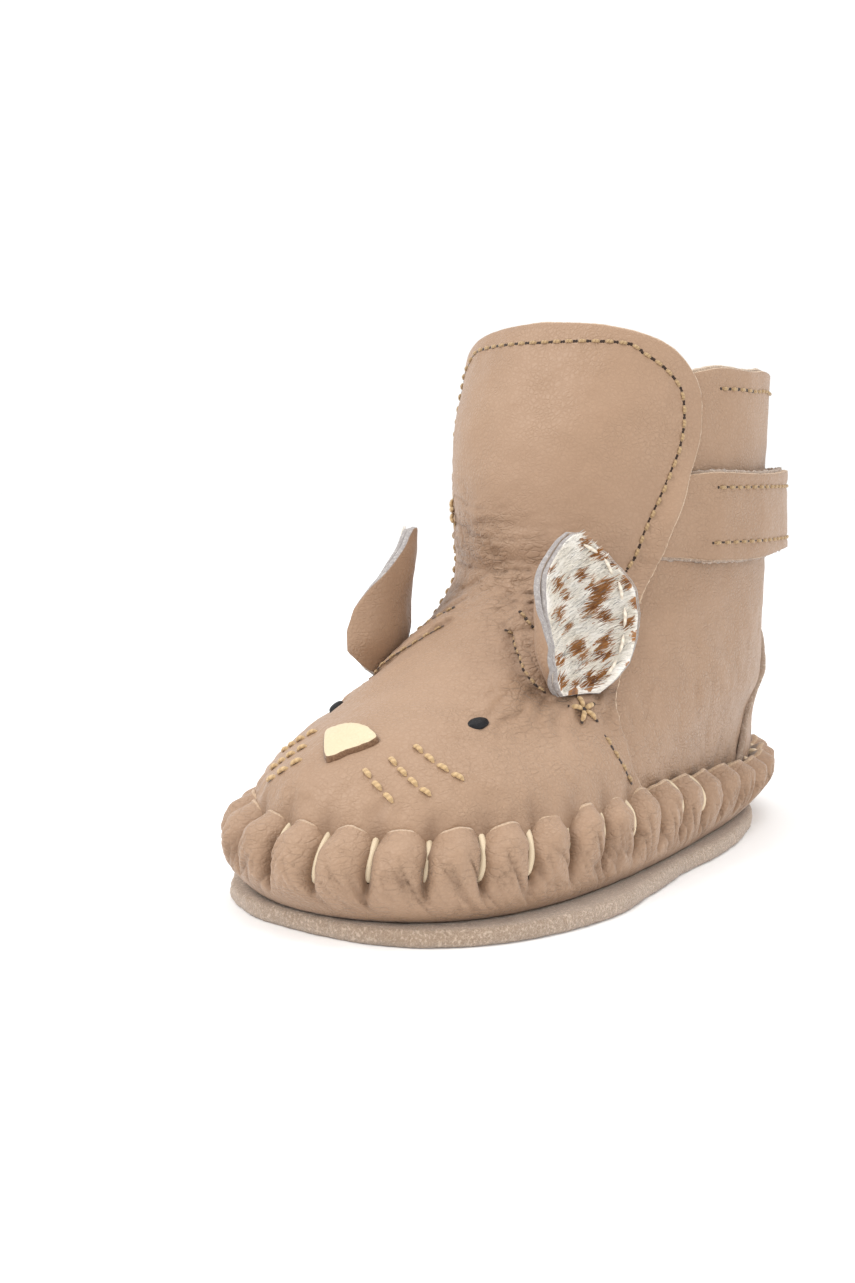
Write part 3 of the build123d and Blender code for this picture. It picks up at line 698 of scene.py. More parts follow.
SEAM_ROWS = SEAM_LINE + FLAP_CORNER[1:]
DART = ((0.20, 46.6), (0.86, 34.4))
EAR_SLIT = ((0.74, 34.4), (1.14, 33.2))

# Even spacing of the lacing along the wrap, as turns and millimetres from the middle of the toe
ring_turn = np.linspace(-math.pi, math.pi, 2001)
ring_far = travelled(surface(WRAP, ring_turn, WRAP_MIDDLE))
RING = ring_far[-1]
ring_far = ring_far - RING / 2
LACE_PITCH = RING / LACE_COUNT
lace_turns = np.interp((np.arange(LACE_COUNT) + 0.5) * LACE_PITCH - RING / 2, ring_far, ring_turn)


def round_far(turn):
    """Millimetres round the wrap from the middle of the toe."""
    return np.interp((np.asarray(turn) + math.pi) % (2 * math.pi) - math.pi, ring_turn, ring_far)


def lace_phase(turn):
    """0 at a lace, 1 half-way between two."""
    phase = (round_far(turn) + RING / 2) / LACE_PITCH - 0.5
    return np.abs(phase - np.round(phase)) * 2


def seam_y(height):
    return row_at(SEAM_ROWS, height)[0]


def strip(turn, height, start, end):
    """Distance from a line between two (turn, height) stops, in millimetres, and the share along it."""
    px, pz = (turn - start[0]) * HALF_WIDTH, height - start[1]
    dx, dz = (end[0] - start[0]) * HALF_WIDTH, end[1] - start[1]
    share = np.clip((px * dx + pz * dz) / (dx * dx + dz * dz), 0, 1)
    return np.hypot(px - share * dx, pz - share * dz), share


FOLD_POINT = np.array([0, -8.2, FOLD_HEIGHT])
FOLD_UP = np.array([math.sin(FOLD_TILT), 0, math.cos(FOLD_TILT)])


def vamp_relief(turn, height):
    """How far the vamp and flap stand out, with the painted shade in their creases and how worn each point
    is.
    """
    flat = surface(UPPER, turn, height, VAMP_OUT)
    above = (flat - FOLD_POINT) @ FOLD_UP
    side = np.abs(turn)
    out = VAMP_OUT + (FLAP_OUT - VAMP_OUT) * smooth_step(-4, 6, above)
    foot = 1 - smooth_step(40, 56, height)
    out = out + rough(flat, 17, 1) * 0.5 + rough(flat, 5.5, 2) * 0.11
    out = out + rough(flat, 2.1, 3) * 0.05 * (0.5 + foot)
    throat = bell(above, -3.5, 8.5) * (1 - smooth_step(1.25, 1.6, side))
    long_folds = flat * np.array([0.22, 0.22, 0.85])
    fold = creases(long_folds, 3.4, 4)
    thin = creases(flat * np.array([0.4, 0.4, 1.1]), 2.2, 5)
    out = out + throat * (rough(long_folds, 3.0, 6) * 0.6 - fold * 0.55 - thin * 0.25)
    dart_far, dart_share = strip(side, height, *DART)
    dart_on = smooth_step(-0.01, 0.08, dart_share)
    ridge = 0.45 * (1 - smooth_step(0.9, 1.6, dart_far)) - 0.25 * bell(dart_far, 2.0, 0.5)
    out = out + dart_on * ridge
    slit_far = strip(side, height, *EAR_SLIT)[0]
    pucker = np.sin(turn * 58 + rough(flat, 6, 7) * 3) * bell(slit_far, 2.2, 3.6) * (height < 34)
    out = out + pucker * 0.2 - 0.3 * bell(slit_far, 0, 1.1)
    pinch = (1 - lace_phase(turn)) ** 2 * (1 - smooth_step(16, 23, height))
    gathers = rough(flat * np.array([1.2, 1.2, 0.45]), 2.6, 8) * (1 - smooth_step(17, 27, height))
    out = out - pinch * 0.5 + gathers * 0.3
    edge = smooth_step(0.86, 1.0, side / np.maximum(vamp_edge(height), 1e-9)) * (turn > 0)
    out = out + edge * 2.3 * bell(height, 62.5, 9.0)
    # Painted shade: darkness put in the folds of the throat, beside the dart's ridge, in the ear's slit, in
    # the pinches at the laces and in the puckers.
    painted_shade = fold * throat * 0.6 + thin * throat * 0.3 + bell(dart_far, 1.9, 0.45) * dart_on * 0.6
    painted_shade = painted_shade + bell(slit_far, 0, 0.9) + pinch * 0.8 + np.clip(-pucker, 0, 1) * 0.15
    worn = 0.10 + throat * 0.9 + 0.6 * bell(slit_far, 0, 8) + 0.15 * (1 - smooth_step(20, 34, height))
    return out, {"painted_shade": np.clip(painted_shade, 0, 1), "worn": np.clip(worn, 0, 1)}


def vamp_skin(turn, height):
    return surface(UPPER, turn, height, vamp_relief(turn, height)[0])


def quarter_relief(turn, height):
    """How far the quarter stands out, with the painted shade in its creases and how worn each point is."""
    flat = surface(UPPER, turn, height)
    out = rough(flat, 19, 11) * 0.6 + rough(flat, 6, 12) * 0.14 + rough(flat, 2.2, 13) * 0.05
    lines = creases(flat * np.array([0.9, 0.9, 0.3]), 4.5, 14) * (1 - smooth_step(30, 50, height))
    lap = smooth_step(seam_y(height) + 4.0, seam_y(height) + 0.5, flat[..., 1])
    out = (out - lines * 0.18) * (1 - lap * 0.9)
    pinch = (1 - lace_phase(turn)) ** 2 * (1 - smooth_step(15, 20, height))
    # Painted shade in the crease lines near the sole and in the pinches at the laces.
    painted_shade = np.clip(lines * 0.2 + pinch * 0.7, 0, 1)
    worn = 0.20 + 0.25 * (1 - smooth_step(35, 52, height))
    return out - 0.05 - pinch * 0.3, {"painted_shade": painted_shade, "worn": worn}


def quarter_skin(turn, height):
    return surface(UPPER, turn, height, quarter_relief(turn, height)[0])


def strap_out(turn, height):
    """Outer face of the strap: pressed flat where it tucks under the flap, proud round the heel."""
    flat = surface(UPPER, turn, height)
    y = flat[..., 1]
    tucked = (1 - smooth_step(12.5, 21, y)) * (turn < math.pi)
    out = 3.5 + 0.7 * smooth_step(20, 55, y) - 1.75 * tucked
    out = out + rough(flat, 13, 21) * 0.35 * smooth_step(20, 30, y) + rough(flat, 2.4, 22) * 0.07
    row_gap = np.minimum(*(np.abs(height - row) for row in STRAP_SEWN))
    return out - 0.22 * bell(row_gap, 0, 0.7)


def strap_skin(turn, height):
    return surface(UPPER, turn, height, strap_out(turn, height))


def wrap_top_edge(turn):
    """Height of the wrap's scalloped top edge: it arches between the laces and dips into them."""
    top = np.interp(plan(WRAP, turn, WRAP_MIDDLE)[1], *zip(*WRAP_TOP))
    flat = np.stack([round_far(turn), np.zeros_like(turn), np.zeros_like(turn)], axis=-1)
    return top - 1.3 + 2.3 * np.sin(lace_phase(turn) * math.pi / 2) ** 0.7 + rough(flat, 9, 31) * 0.5


def wrap_relief(turn, share):
    """Puffed lobes between the laces, valleys under them, and wrinkles that run down to the outsole; also
    the painted shade in them and in the tuck at the foot.
    """
    far = round_far(turn)
    height = WRAP_FOOT + share * (wrap_top_edge(turn) - WRAP_FOOT)
    arch = lace_phase(turn)
    upper_part = smooth_step(0.15, 0.62, share)
    lobe = np.sin(arch * math.pi / 2) ** 0.5
    out = upper_part * (lobe * 2.9 - 2.1) - 1.5 * smooth_step(0.8, 1.0, share) ** 2
    slant = far + (height - 9.5) * 0.55 * np.sign(turn)
    fan = np.stack([slant, height * 0.22, np.zeros_like(far)], axis=-1)
    valley = creases(fan, 4.6, 32) * (1 - smooth_step(0.45, 0.9, share)) * smooth_step(0.02, 0.2, share)
    fine = creases(fan, 2.4, 33) * (1 - smooth_step(0.5, 0.95, share)) * smooth_step(0.02, 0.15, share)
    lump = np.stack([far, height, np.zeros_like(far)], axis=-1)
    out = out - valley * 0.75 - fine * 0.32 + rough(lump, 5.0, 34) * 0.35 + rough(lump, 1.8, 35) * 0.05
    out = out - 0.9 * bell(arch, 0.0, 0.22) * bell(share, 0.5, 0.22) - 0.9 * smooth_step(0.2, 0.0, share)
    # Painted shade: darkness in the valleys and fine wrinkles, at the laces and in the tuck where the wrap
    # meets the sole.
    dark = valley * 0.7 + fine * 0.35 + bell(arch, 0, 0.15) * upper_part * 1.3
    dark = dark + 0.4 * smooth_step(0.12, 0.0, share)
    return out, height, np.clip(dark, 0, 1)


def wrap_skin(turn, share):
    out, height, _ = wrap_relief(np.array(turn), np.array(share))
    return surface(WRAP, turn, height, out)


# ---------------------------------------------------------------- upper


def arched(relief, inside, low, rows, cols, edge_turn, corner, centre=0.0):
    """Grid of a piece with a rounded top, and its values. edge_turn(height) is its half width as a turn, and
    corner its heights and half widths from where the top starts to round."""
    heights, widths = corner
    a = np.linspace(-1, 1, cols)[None, :]
    top = np.interp(-np.abs(a), -widths / widths[0], heights)
    height = low + np.linspace(0, 1, rows)[:, None] * (top - low)
    turn = centre + a * edge_turn(np.minimum(height, heights[0]))
    out, values = relief(turn, height)
    return surface(UPPER, turn, height, out - inside), values


def vamp_edge(height):
    return side_turn(seam_y(height), height)


def lining_edge(height):
    return side_turn(seam_y(height) - 6.6 * (1 - smooth_step(86, 92, height)) - 0.5, height)


def rounded(edge, heights, top):
    """Heights and half widths of a top that rounds off to a point at its middle."""
    return np.append(heights, top), np.append(np.minimum.accumulate(edge(heights)), 0.0)


FLAP_HEIGHTS = np.concatenate([np.linspace(84, 97, 14), np.linspace(97.2, 98.0, 5)])
FLAP_TOP = 98.3
LEATHER_SIDES = [LEATHER_MAT, FLESH_MAT, EDGE_MAT]
LINING_SIDES = [LINING_MAT, LINING_MAT, LINING_EDGE_MAT]
FLAP_BEND = ("bootie", "tongue", *(tuple((FOLD_POINT + FOLD_UP * reach) * MM) for reach in (-5, 5)))

vamp_top = rounded(vamp_edge, FLAP_HEIGHTS, FLAP_TOP)
points, values = arched(vamp_relief, 0.0, 7.0, 190, 190, vamp_edge, vamp_top)
vamp = panel("vamp_and_flap", points, THICK, LEATHER_SIDES, values, 0.08, 0.35)
settle(vamp, FLAP_BEND, "leather", "vamp", "tongue_flap")
lining_top = rounded(lining_edge, FLAP_HEIGHTS, FLAP_TOP)
points = arched(vamp_relief, LINING_INSIDE, 7.5, 90, 90, lining_edge, lining_top)[0]
vamp_lining = panel("vamp_and_flap_lining", points, 0.9, LINING_SIDES, None, 0.14, 0.16)
settle(vamp_lining, FLAP_BEND, "lining", "vamp_lining", "tongue_lining")


def quarter_edge(height):
    return side_turn(seam_y(height) - 6.0, height)


def collar_height(turn):
    y = plan(UPPER, turn, 88.0)[1]
    wave = 0.35 * np.sin(turn * 5 + 1.0) + 0.25 * np.sin(turn * 11)
    return np.interp(y, [8, 11.5, 16, 40, 70], [85.5, 88, 88.8, 89.8, 91.0]) + wave


def around_heel(inside, low, rise, rows, cols):
    """Grid of a layer of the quarter, and its values, from its outer front edge round the heel."""
    a = np.linspace(0, 1, cols)[None, :]
    first = quarter_edge(88.0)
    top = collar_height(first + a * 2 * (math.pi - first)) + rise
    height = low + np.linspace(0, 1, rows)[:, None] * (top - low)
    edge = quarter_edge(height)
    turn = edge + a * 2 * (math.pi - edge)
    out, values = quarter_relief(turn, height)
    return surface(UPPER, turn, height, out - inside), values


points, values = around_heel(0.0, 7.0, 0.0, 110, 230)
quarter = panel("quarter_leather", points, THICK, LEATHER_SIDES, values, 0.1, 0.12)
settle(quarter, "bootie", "leather", "quarter")
points = around_heel(LINING_INSIDE, 7.5, 0.45, 60, 150)[0]
ankle = panel("quarter_lining_leather", points, 0.95, LINING_SIDES, None, 0.22, 0.2)
settle(ankle, "bootie", "lining", "quarter_lining")

HEEL_ROWS = [(11, 40.5), (13, 42), (27, 53), (39, 61), (45, 66), (47.2, 67.3)]


def heel_edge(height):
    return math.pi - side_turn(row_at(HEEL_ROWS, height)[0], height)


def heel_relief(turn, height):
    out, values = quarter_relief(turn, height)
    return out + 1.35 + 0.12 * np.sin(height * 0.5), values


heel_top = rounded(heel_edge, np.array([39, 41, 43, 45, 46.2]), 47.4)
points, values = arched(heel_relief, 0.0, 11.5, 60, 90, heel_edge, heel_top, math.pi)
heel = panel("heel_patch_leather", points, 1.3, [LEATHER_MAT, FLESH_MAT, FLESH_MAT], values, 0.25, 0.22)
settle(heel, "bootie", "leather", "heel_patch")

# Ankle strap: leather with a suede backing, from the inner side round the heel to the free end
STRAP_START = side_turn(8.5, STRAP_MIDDLE)
STRAP_END = 2 * math.pi - side_turn(16.0, STRAP_MIDDLE)
hinge = np.array([26.8, STRAP_HINGE_Y, 63.0])
toward_tip = np.array([0.66, -0.75, 0.0])
STRAP_BEND = ("bootie", "strap_tab", *(tuple((hinge + toward_tip * reach) * MM) for reach in (-3, 3)))


def strap_grid(inside, inset, rows, cols):
    a = np.linspace(0, 1, cols)[None, :]
    v = np.linspace(0, 1, rows)[:, None]
    turn = STRAP_START + inset * 0.01 + a * (STRAP_END - STRAP_START - inset * 0.02)
    y = plan(UPPER, turn, STRAP_MIDDLE)[1]
    low = np.interp(y, [8, 17, 66], [55.6, STRAP_LOW, 56.4]) + 0.3 * np.sin(turn * 7) + inset
    high = np.interp(y, [8, 17, 66], [69.6, 70.4, STRAP_HIGH]) + 0.25 * np.sin(turn * 6 + 1) - inset
    height = low + v * (high - low)
    tip = 1.4 * (1 - np.sqrt(np.clip(1 - (2 * v - 1) ** 4, 0, 1)))
    turn = turn + (1 - a) ** 12 * tip * 0.03
    return surface(UPPER, turn, height, strap_out(turn, height) - inside)


points = strap_grid(0.0, 0.0, 34, 320)
strap_sides = [STRAP_MAT, FLESH_MAT, EDGE_MAT]
strap = panel("ankle_strap", points, 1.05, strap_sides, {"worn": np.full((34, 320), 0.3)}, 0.12, 0.12)
settle(strap, STRAP_BEND, "leather", "strap_band", "strap_end")
points = strap_grid(1.15, -0.35, 20, 200)
backing = panel("ankle_strap_backing", points, 0.6, [FLESH_MAT] * 3, None, 0.45, 0.25)
settle(backing, STRAP_BEND, "suede_back", "strap_band_lining", "strap_end_lining")

pad_height, pad_y = np.meshgrid(np.linspace(58.5, 67.5, 14), np.linspace(38, 20, 24), indexing="ij")
pad_turn = side_turn(pad_y, pad_height)[:, ::-1]
for name, node, body, pad_out in (
        ("loop_pile", "loop_pad", "bootie", quarter_relief(pad_turn, pad_height)[0] + 0.6),
        ("hook_pile", "hook_pad", "strap_tab", strap_out(pad_turn, pad_height) - 1.8)):
    pad = panel(name, surface(UPPER, pad_turn, pad_height, pad_out), 0.5, [PILE_MAT] * 3, None, 0.1, 0.1)
    settle(pad, body, "fastener_pile", node)


# ---------------------------------------------------------------- sole


def wrap_grid(rows, cols):
    """Rings of the wrap up its outside, over its edge and down its back, and the painted shade at each
    point.
    """
    turn = np.interp(np.linspace(-RING / 2, RING / 2, cols, endpoint=False), ring_far, ring_turn)[None, :]
    points = []
    painted_shades = []
    for share in np.linspace(0, 1, rows)[:, None]:
        out, height, dark = wrap_relief(turn, share)
        points.append(surface(WRAP, turn, height, out)[0])
        painted_shades.append(dark[0])
    top = wrap_top_edge(turn)
    inwards = -way_out(WRAP, turn, top)[0]
    edge, edge_shade = points[-1], painted_shades[-1]
    for lift, reach, share in ((0.45, 0.55, 0.8), (0.25, 1.25, 0.6), (0.0, 1.7, 0.5)):
        points.append(edge + np.array([0, 0, lift]) + inwards * reach)
        painted_shades.append(edge_shade * share)
    for depth in (2.0, 5.0, 9.0):
        points.append(surface(UPPER, turn, top - depth, 1.4)[0])
        painted_shades.append(edge_shade * 0.5)
    return np.array(points), np.array(painted_shades)


WRAP_ROWS = 36
points, painted_shades = wrap_grid(WRAP_ROWS, 1100)
rows, cols = painted_shades.shape
quads = grid_quads(rows + 1, cols, closed=True) % painted_shades.size
kinds = np.repeat([0, 1, 2], [(WRAP_ROWS - 1) * cols, 2 * cols, (rows - WRAP_ROWS - 1) * cols])
# The wrap's painted shade reaches the leather's colour through this attribute.
values = {"painted_shade": painted_shades.ravel(), "worn": np.full(painted_shades.size, 0.55)}
wrap_sides = [LEATHER_MAT, EDGE_MAT, FLESH_MAT]
wrap = new_object("gathered_wrap", points.reshape(-1, 3), quads, wrap_sides, kinds, values)
settle(wrap, "bootie", "leather", "moccasin_wrap")

inner_side = [(-x + TOE_LEAN * max(0, min(2, (10 - y) / 25)), y) for x, y in reversed(OUTSOLE_SIDE)]
sole_line = smooth_path([OUTSOLE_TOE, *OUTSOLE_SIDE, OUTSOLE_HEEL, *inner_side], 700, closed=True)
along = np.roll(sole_line, -1, axis=0) - np.roll(sole_line, 1, axis=0)
sole_way = unit(np.stack([along[:, 1], -along[:, 0]], axis=1))
# How far each ring lies outside the sole's line, and its height; the first and last close in on the middle
SOLE_RINGS = [(None, 0.0), (-6, 0.0), (-1.2, 0.0), (-0.35, 0.12), (0.05, 0.6), (0.1, 1.3), (0.05, 2.0),
              (-0.1, 2.55), (-0.5, 2.9), (-1.2, 3.0), (-2.6, 3.0), (-6, 2.95), (None, 2.95)]
sole_rings = []
for reach, level in SOLE_RINGS:
    outline = sole_line * np.array([0.4, 0.62]) if reach is None else sole_line + sole_way * reach
    ring = np.concatenate([outline, np.full((len(outline), 1), level)], axis=1)
    fuzz = rough(ring, 0.8, 41, 2) * 0.16 + rough(ring, 4.0, 42, 2) * 0.22
    ring[:, :2] += sole_way * fuzz[:, None] * (0 if reach is None else np.clip(1 + reach / 2, 0, 1))
    ring[:, 2] += 0.12 * rough(ring, 1.4, 43, 2) * (level > 0.3)
    sole_rings.append(ring)
sole = shell("suede_outsole", sole_rings, [SOLE_MAT, SOLE_SIDE_MAT], range(3, 8), (1, 0, 0.0), (1, 0, 2.95))
settle(sole, "bootie", "sole_suede", "outsole")

# The insole's rings: how far each is drawn in from the upper's outline, and its height
SOCK_RINGS = [(-18, 4.5), (-3.2, 4.5), (-2.9, 5.0), (-2.8, 6.3), (-3.1, 7.2), (-4.5, 7.4), (-18, 7.4)]
sock_turn = np.linspace(0, 2 * math.pi, 160, endpoint=False)
sock_rings = []
for reach, level in SOCK_RINGS:
    outline = surface(UPPER, sock_turn, level)[:, :2]
    middle = outline.mean(axis=0)
    ring = np.concatenate([middle + (outline - middle) * (1 + reach / 45), np.full((160, 1), level)], axis=1)
    ring[:, 2] += rough(ring, 5, 51, 2) * 0.15 * (level > 7)
    sock_rings.append(ring)
sock = shell("felt_insole", sock_rings, [FELT_MAT], low=(0, 3, 4.5), high=(0, 3, 7.4))
settle(sock, "bootie", "insole_felt", "insole")

# Lacing: one waxed stitch per gather, from its hole over the wrap's edge into the seam behind it
LACE_POINTS = 22
lace_verts = []
hole_spots = []
for turn in lace_turns:
    turn = turn + rng.uniform(-0.004, 0.004)
    top = float(wrap_top_edge(np.array(turn)))
    normal = way_out(WRAP, turn, 11.0)
    hole_share = (LACE_HOLE_HEIGHT + rng.uniform(-0.5, 0.5) - WRAP_FOOT) / (top - WRAP_FOOT)
    buried, low, high = (wrap_skin(turn, share) + normal * lift for share, lift in
                         ((hole_share - 0.02, -0.9), (hole_share + 0.03, 0.5), (0.93, 0.95)))
    bow = (low + high) / 2 + normal * 0.7
    edge = wrap_skin(turn, 1.0)
    over = edge + UP * 0.75 + normal * 0.1
    behind = edge - normal * 1.6 - UP * 0.3
    stops = [buried, low, bow, high, over, behind, behind - normal * 0.4 - UP * 2]
    lace_verts += smooth_path(stops, LACE_POINTS).tolist()
    hole_spots.append((wrap_skin(turn, hole_share - 0.035) + normal * 0.15, UP, normal, (1.9, 1.9, 1.5)))
lace_edges = [(k, k + 1) for k in range(len(lace_verts)) if (k + 1) % LACE_POINTS]
lace_lines = new_object("lace_lines", lace_verts, [], edges=lace_edges)
lacing = grown("waxed_lacing", lace_lines, CORD_GROUP, Material=LACE_MAT, Radius=0.62 * MM)
settle(lacing, "bootie", "waxed_lace", "lacing_thread")
# Each lace hole is a near-black dish of painted shade, just below its lace.
settle(placed("lace_holes", hole_spots, HOLE, HOLE_SHADE_MAT), "bootie")


# ---------------------------------------------------------------- sewing


def side_stops(side, points):
    return [(side * float(side_turn(y, z)), z) for y, z in points]


FLAP_ROW = [(2.6, 51.5), (4.8, 56), (6.5, 61.5), (9.8, 70), (12.3, 77), (13.2, 84), (12, 88), (9.6, 91.5),
            (6.9, 94)]
WHISKERS = [((0.175, 25.6), (0.342, 20.9)), ((0.262, 26.9), (0.478, 21.8)), ((0.349, 28.5), (0.594, 23.6))]
BARTACKS = [(1, -16, 31), (-1, 6, 63)]
SIDES = (1, -1)

seam_inside = [(y - 3.0, z) for z, y in SEAM_LINE]
outer_seam = side_stops(1, [(-13.5, 18.5), (-15.5, 22), (-16, 27)])
inner_seam = side_stops(-1, [(-13.5, 18.5), (-15.5, 22), (-16, 29), *seam_inside[4:9]])
seam_spans = stitch_row(vamp_skin, outer_seam) + stitch_row(vamp_skin, inner_seam)
sew("seam_threads", seam_spans, THREAD_MAT, "bootie", "seam_stitches")
flap_spans = stitch_row(vamp_skin, side_stops(1, FLAP_ROW) + side_stops(-1, FLAP_ROW[4:])[::-1])
sew("flap_threads", flap_spans, THREAD_MAT, "tongue", "flap_stitches")
collar_start = float(side_turn(22, 86))
collar_turns = np.linspace(collar_start, 2 * math.pi - collar_start, 21)
collar_stops = np.stack([collar_turns, collar_height(collar_turns) - 3.6], axis=1)
sew("collar_threads", stitch_row(quarter_skin, collar_stops), THREAD_MAT, "bootie", "collar_stitches")

dart_spans = []
for side in SIDES:
    for shift in (-1.5, 1.5):
        stops = [(side * (DART[0][0] + 0.06), DART[0][1] - 1.6 + shift),
                 (side * (DART[1][0] - 0.05), DART[1][1] + 1.2 + shift)]
        dart_spans += stitch_row(vamp_skin, stops, pitch=2.3)
sew("dart_threads", dart_spans, THREAD_MAT, "bootie", "dart_stitches", wide=0.8)

whisker_spans = []
for side in SIDES:
    for whisker in WHISKERS:
        stops = [(side * turn, height) for turn, height in whisker]
        whisker_spans += stitch_row(vamp_skin, stops, pitch=2.6, fill=0.88, lift=0.1)
sew("whisker_threads", whisker_spans, FACE_THREAD_MAT, "bootie", "whisker_stitches", wide=1.3, holes=False)

tack_spans = []
for side, y, z in BARTACKS:
    turn = side * float(side_turn(y, z))
    middle = vamp_skin(turn, z)
    normal = way_out(UPPER, turn, z)
    level = unit(np.cross(UP, normal))
    for k in range(5):
        angle = k * 2 * math.pi / 5 + 0.3
        ray = level * math.cos(angle) + np.cross(normal, level) * math.sin(angle)
        tack_spans.append((middle + ray * 0.2 + normal * 0.35, middle + ray * 2.7 + normal * 0.15, normal))
sew("bartack_threads", tack_spans, FACE_THREAD_MAT, "bootie", "seam_bartacks", wide=1.3)

strap_turns = [float(side_turn(y, 62)) for y in (18.5, 26, 34, 42, 49.5)]
band_turns = [float(side_turn(54.5, 62)) + 0.17 * k for k in range(24)]
band_turns = [turn for turn in band_turns if turn < 2 * math.pi - float(side_turn(18, 62))]
for name, turns, body, node in (("strap_end_threads", strap_turns, "strap_tab", "strap_end_stitches"),
                                ("strap_band_threads", band_turns, "bootie", "strap_band_stitches")):
    spans = []
    for level in STRAP_SEWN:
        spans += stitch_row(strap_skin, [(turn, level) for turn in turns])
    sew(name, spans, THREAD_MAT, body, node)


# ---------------------------------------------------------------- face

EYE_TURN = 0.60
EYE_HEIGHT = 30.5
for side, name in zip(SIDES, ("eye_outer", "eye_inner")):
    turn = side * EYE_TURN
    centre = vamp_skin(turn, EYE_HEIGHT)
    normal = way_out(UPPER, turn, EYE_HEIGHT)
    level = surface(UPPER, turn + side * 0.05, EYE_HEIGHT) - surface(UPPER, turn, EYE_HEIGHT)
    level = unit(level - normal * np.dot(level, normal))
    rise = np.cross(normal, level)
    long_way = level * 0.96 + rise * 0.28 * side
    short_way = rise * 0.96 - level * 0.28 * side
    a = np.linspace(0, 2 * math.pi, 28, endpoint=False)[:, None]
    outline = long_way * np.cos(a) * 2.25 + short_way * np.sin(a) * 1.3
    eye_rings = []
    for share in np.linspace(1.0, 0.15, 7):
        lift = 0.95 * math.sqrt(max(0.0, 1 - share**2.6)) - 0.15
        eye_rings.append(centre + outline * share + normal * lift)
    bead = shell(name + "_bead", eye_rings, [EYE_MAT], high=np.mean(eye_rings[-1], axis=0))
    settle(bead, "bootie", "eye_black", name)

NOSE = [(-3.2, -52.2), (-3.4, -53.6), (0.6, -58.2), (2.6, -58.2), (6.6, -53.6), (6.4, -52.2), (1.6, -51.0)]
NOSE_RINGS = [(1.0, -0.4), (1.02, 0.2), (1.0, 0.6), (0.95, 0.85), (0.86, 0.95), (0.6, 1.0), (0.3, 1.05)]
nose_line = smooth_path(NOSE, 72, closed=True)
nose_middle = nose_line.mean(axis=0)
near_turn, near_height = np.meshgrid(np.linspace(-0.6, 0.6, 241), np.linspace(16, 34, 181))
toe_points = vamp_skin(near_turn, near_height).reshape(-1, 3)


def on_toe(place, lift):
    """Point this far above the vamp at this x and y."""
    found = toe_points[np.argmin(np.sum((toe_points[:, :2] - place) ** 2, axis=1))]
    return (place[0], place[1] - lift * 0.35, found[2] + lift)


nose_rings = [[on_toe(nose_middle + (p - nose_middle) * share, lift) for p in nose_line]
              for share, lift in NOSE_RINGS]
nose_tip = on_toe(nose_middle, NOSE_RINGS[-1][1])
nose = shell("nose_leather_patch", nose_rings, [NOSE_MAT, NOSE_EDGE_MAT], range(3), high=nose_tip)
settle(nose, "bootie", "nose_leather", "nose_patch")


# ---------------------------------------------------------------- ears

EAR_TURN = math.radians(24)
EAR_HEIGHT = 27.0
EAR_FOOT = 34.0
EAR_ROUND = 17.0  # radius of its open part
EAR_CURL_AT = -7.5  # where across the leaf its toe side starts to curl
EAR_OUT = 21.5
EAR_Y = -16.5
EAR_LEAN = 1.0  # both ears sit this far to the outer side, as the toe does
# Height up the ear, and how far its leaf reaches to its toe side and to its heel side
LEAF = [(0.0, 7.0, 4.2), (2.0, 10.4, 7.2), (5.0, 13.6, 9.8), (9.0, 14.4, 11.2), (13.0, 13.2, 11.5),
        (17.0, 10.9, 10.9), (20.5, 8.0, 9.0), (23.5, 5.0, 6.6), (25.8, 2.8, 4.0), (27.0, 0.9, 1.5)]


def ear_point(side, s, level, deep):
    """Point of an ear at s across its leaf and this level up, `deep` behind the middle of its leather.
    Its toe side curls forward, most of all low down."""
    s, level = np.broadcast_arrays(np.asarray(s, float), np.asarray(level, float))
    bend = 1 / EAR_ROUND + 0.155 * (1 - smooth_step(15, 27, level))
    start = EAR_CURL_AT / EAR_ROUND
    past = bend * np.maximum(EAR_CURL_AT - s, 0)
    held = np.maximum(s, EAR_CURL_AT) / EAR_ROUND
    angle = held - past
    across = EAR_ROUND * np.sin(held) - (np.sin(start) - np.sin(start - past)) / bend
    depth = 14.0 - EAR_ROUND * np.cos(held) - (np.cos(start - past) - np.cos(start)) / bend
    across = (across + deep * np.sin(angle)) * (1 - 0.16 * (1 - smooth_step(0, 7, level)))
    depth = depth - deep * np.cos(angle) + 2.0 * (1 - smooth_step(0, 9, level))
    depth = depth - 1.3 * (level / EAR_HEIGHT) ** 2 - 0.4 * np.sin(level * 0.32 + 1) * (1 - np.abs(s) / 14)
    x = side * (EAR_OUT + across * math.sin(EAR_TURN) + depth * math.cos(EAR_TURN)) + EAR_LEAN
    y = EAR_Y + across * math.cos(EAR_TURN) - depth * math.sin(EAR_TURN)
    return np.stack([x, y, EAR_FOOT + level], axis=-1)


def leaf_grid(inset, rows=50, cols=40):
    level = EAR_HEIGHT * np.linspace(0, 1, rows)[:, None] ** 0.85
    heights, *reaches = zip(*LEAF)
    left, right = (np.maximum(np.interp(level, heights, reach) - inset, 0.5) for reach in reaches)
    a = np.linspace(-1, 1, cols)[None, :]
    return np.where(a < 0, left, right) * a, (level - 0.5) * (1 - inset / EAR_HEIGHT) + 0 * a


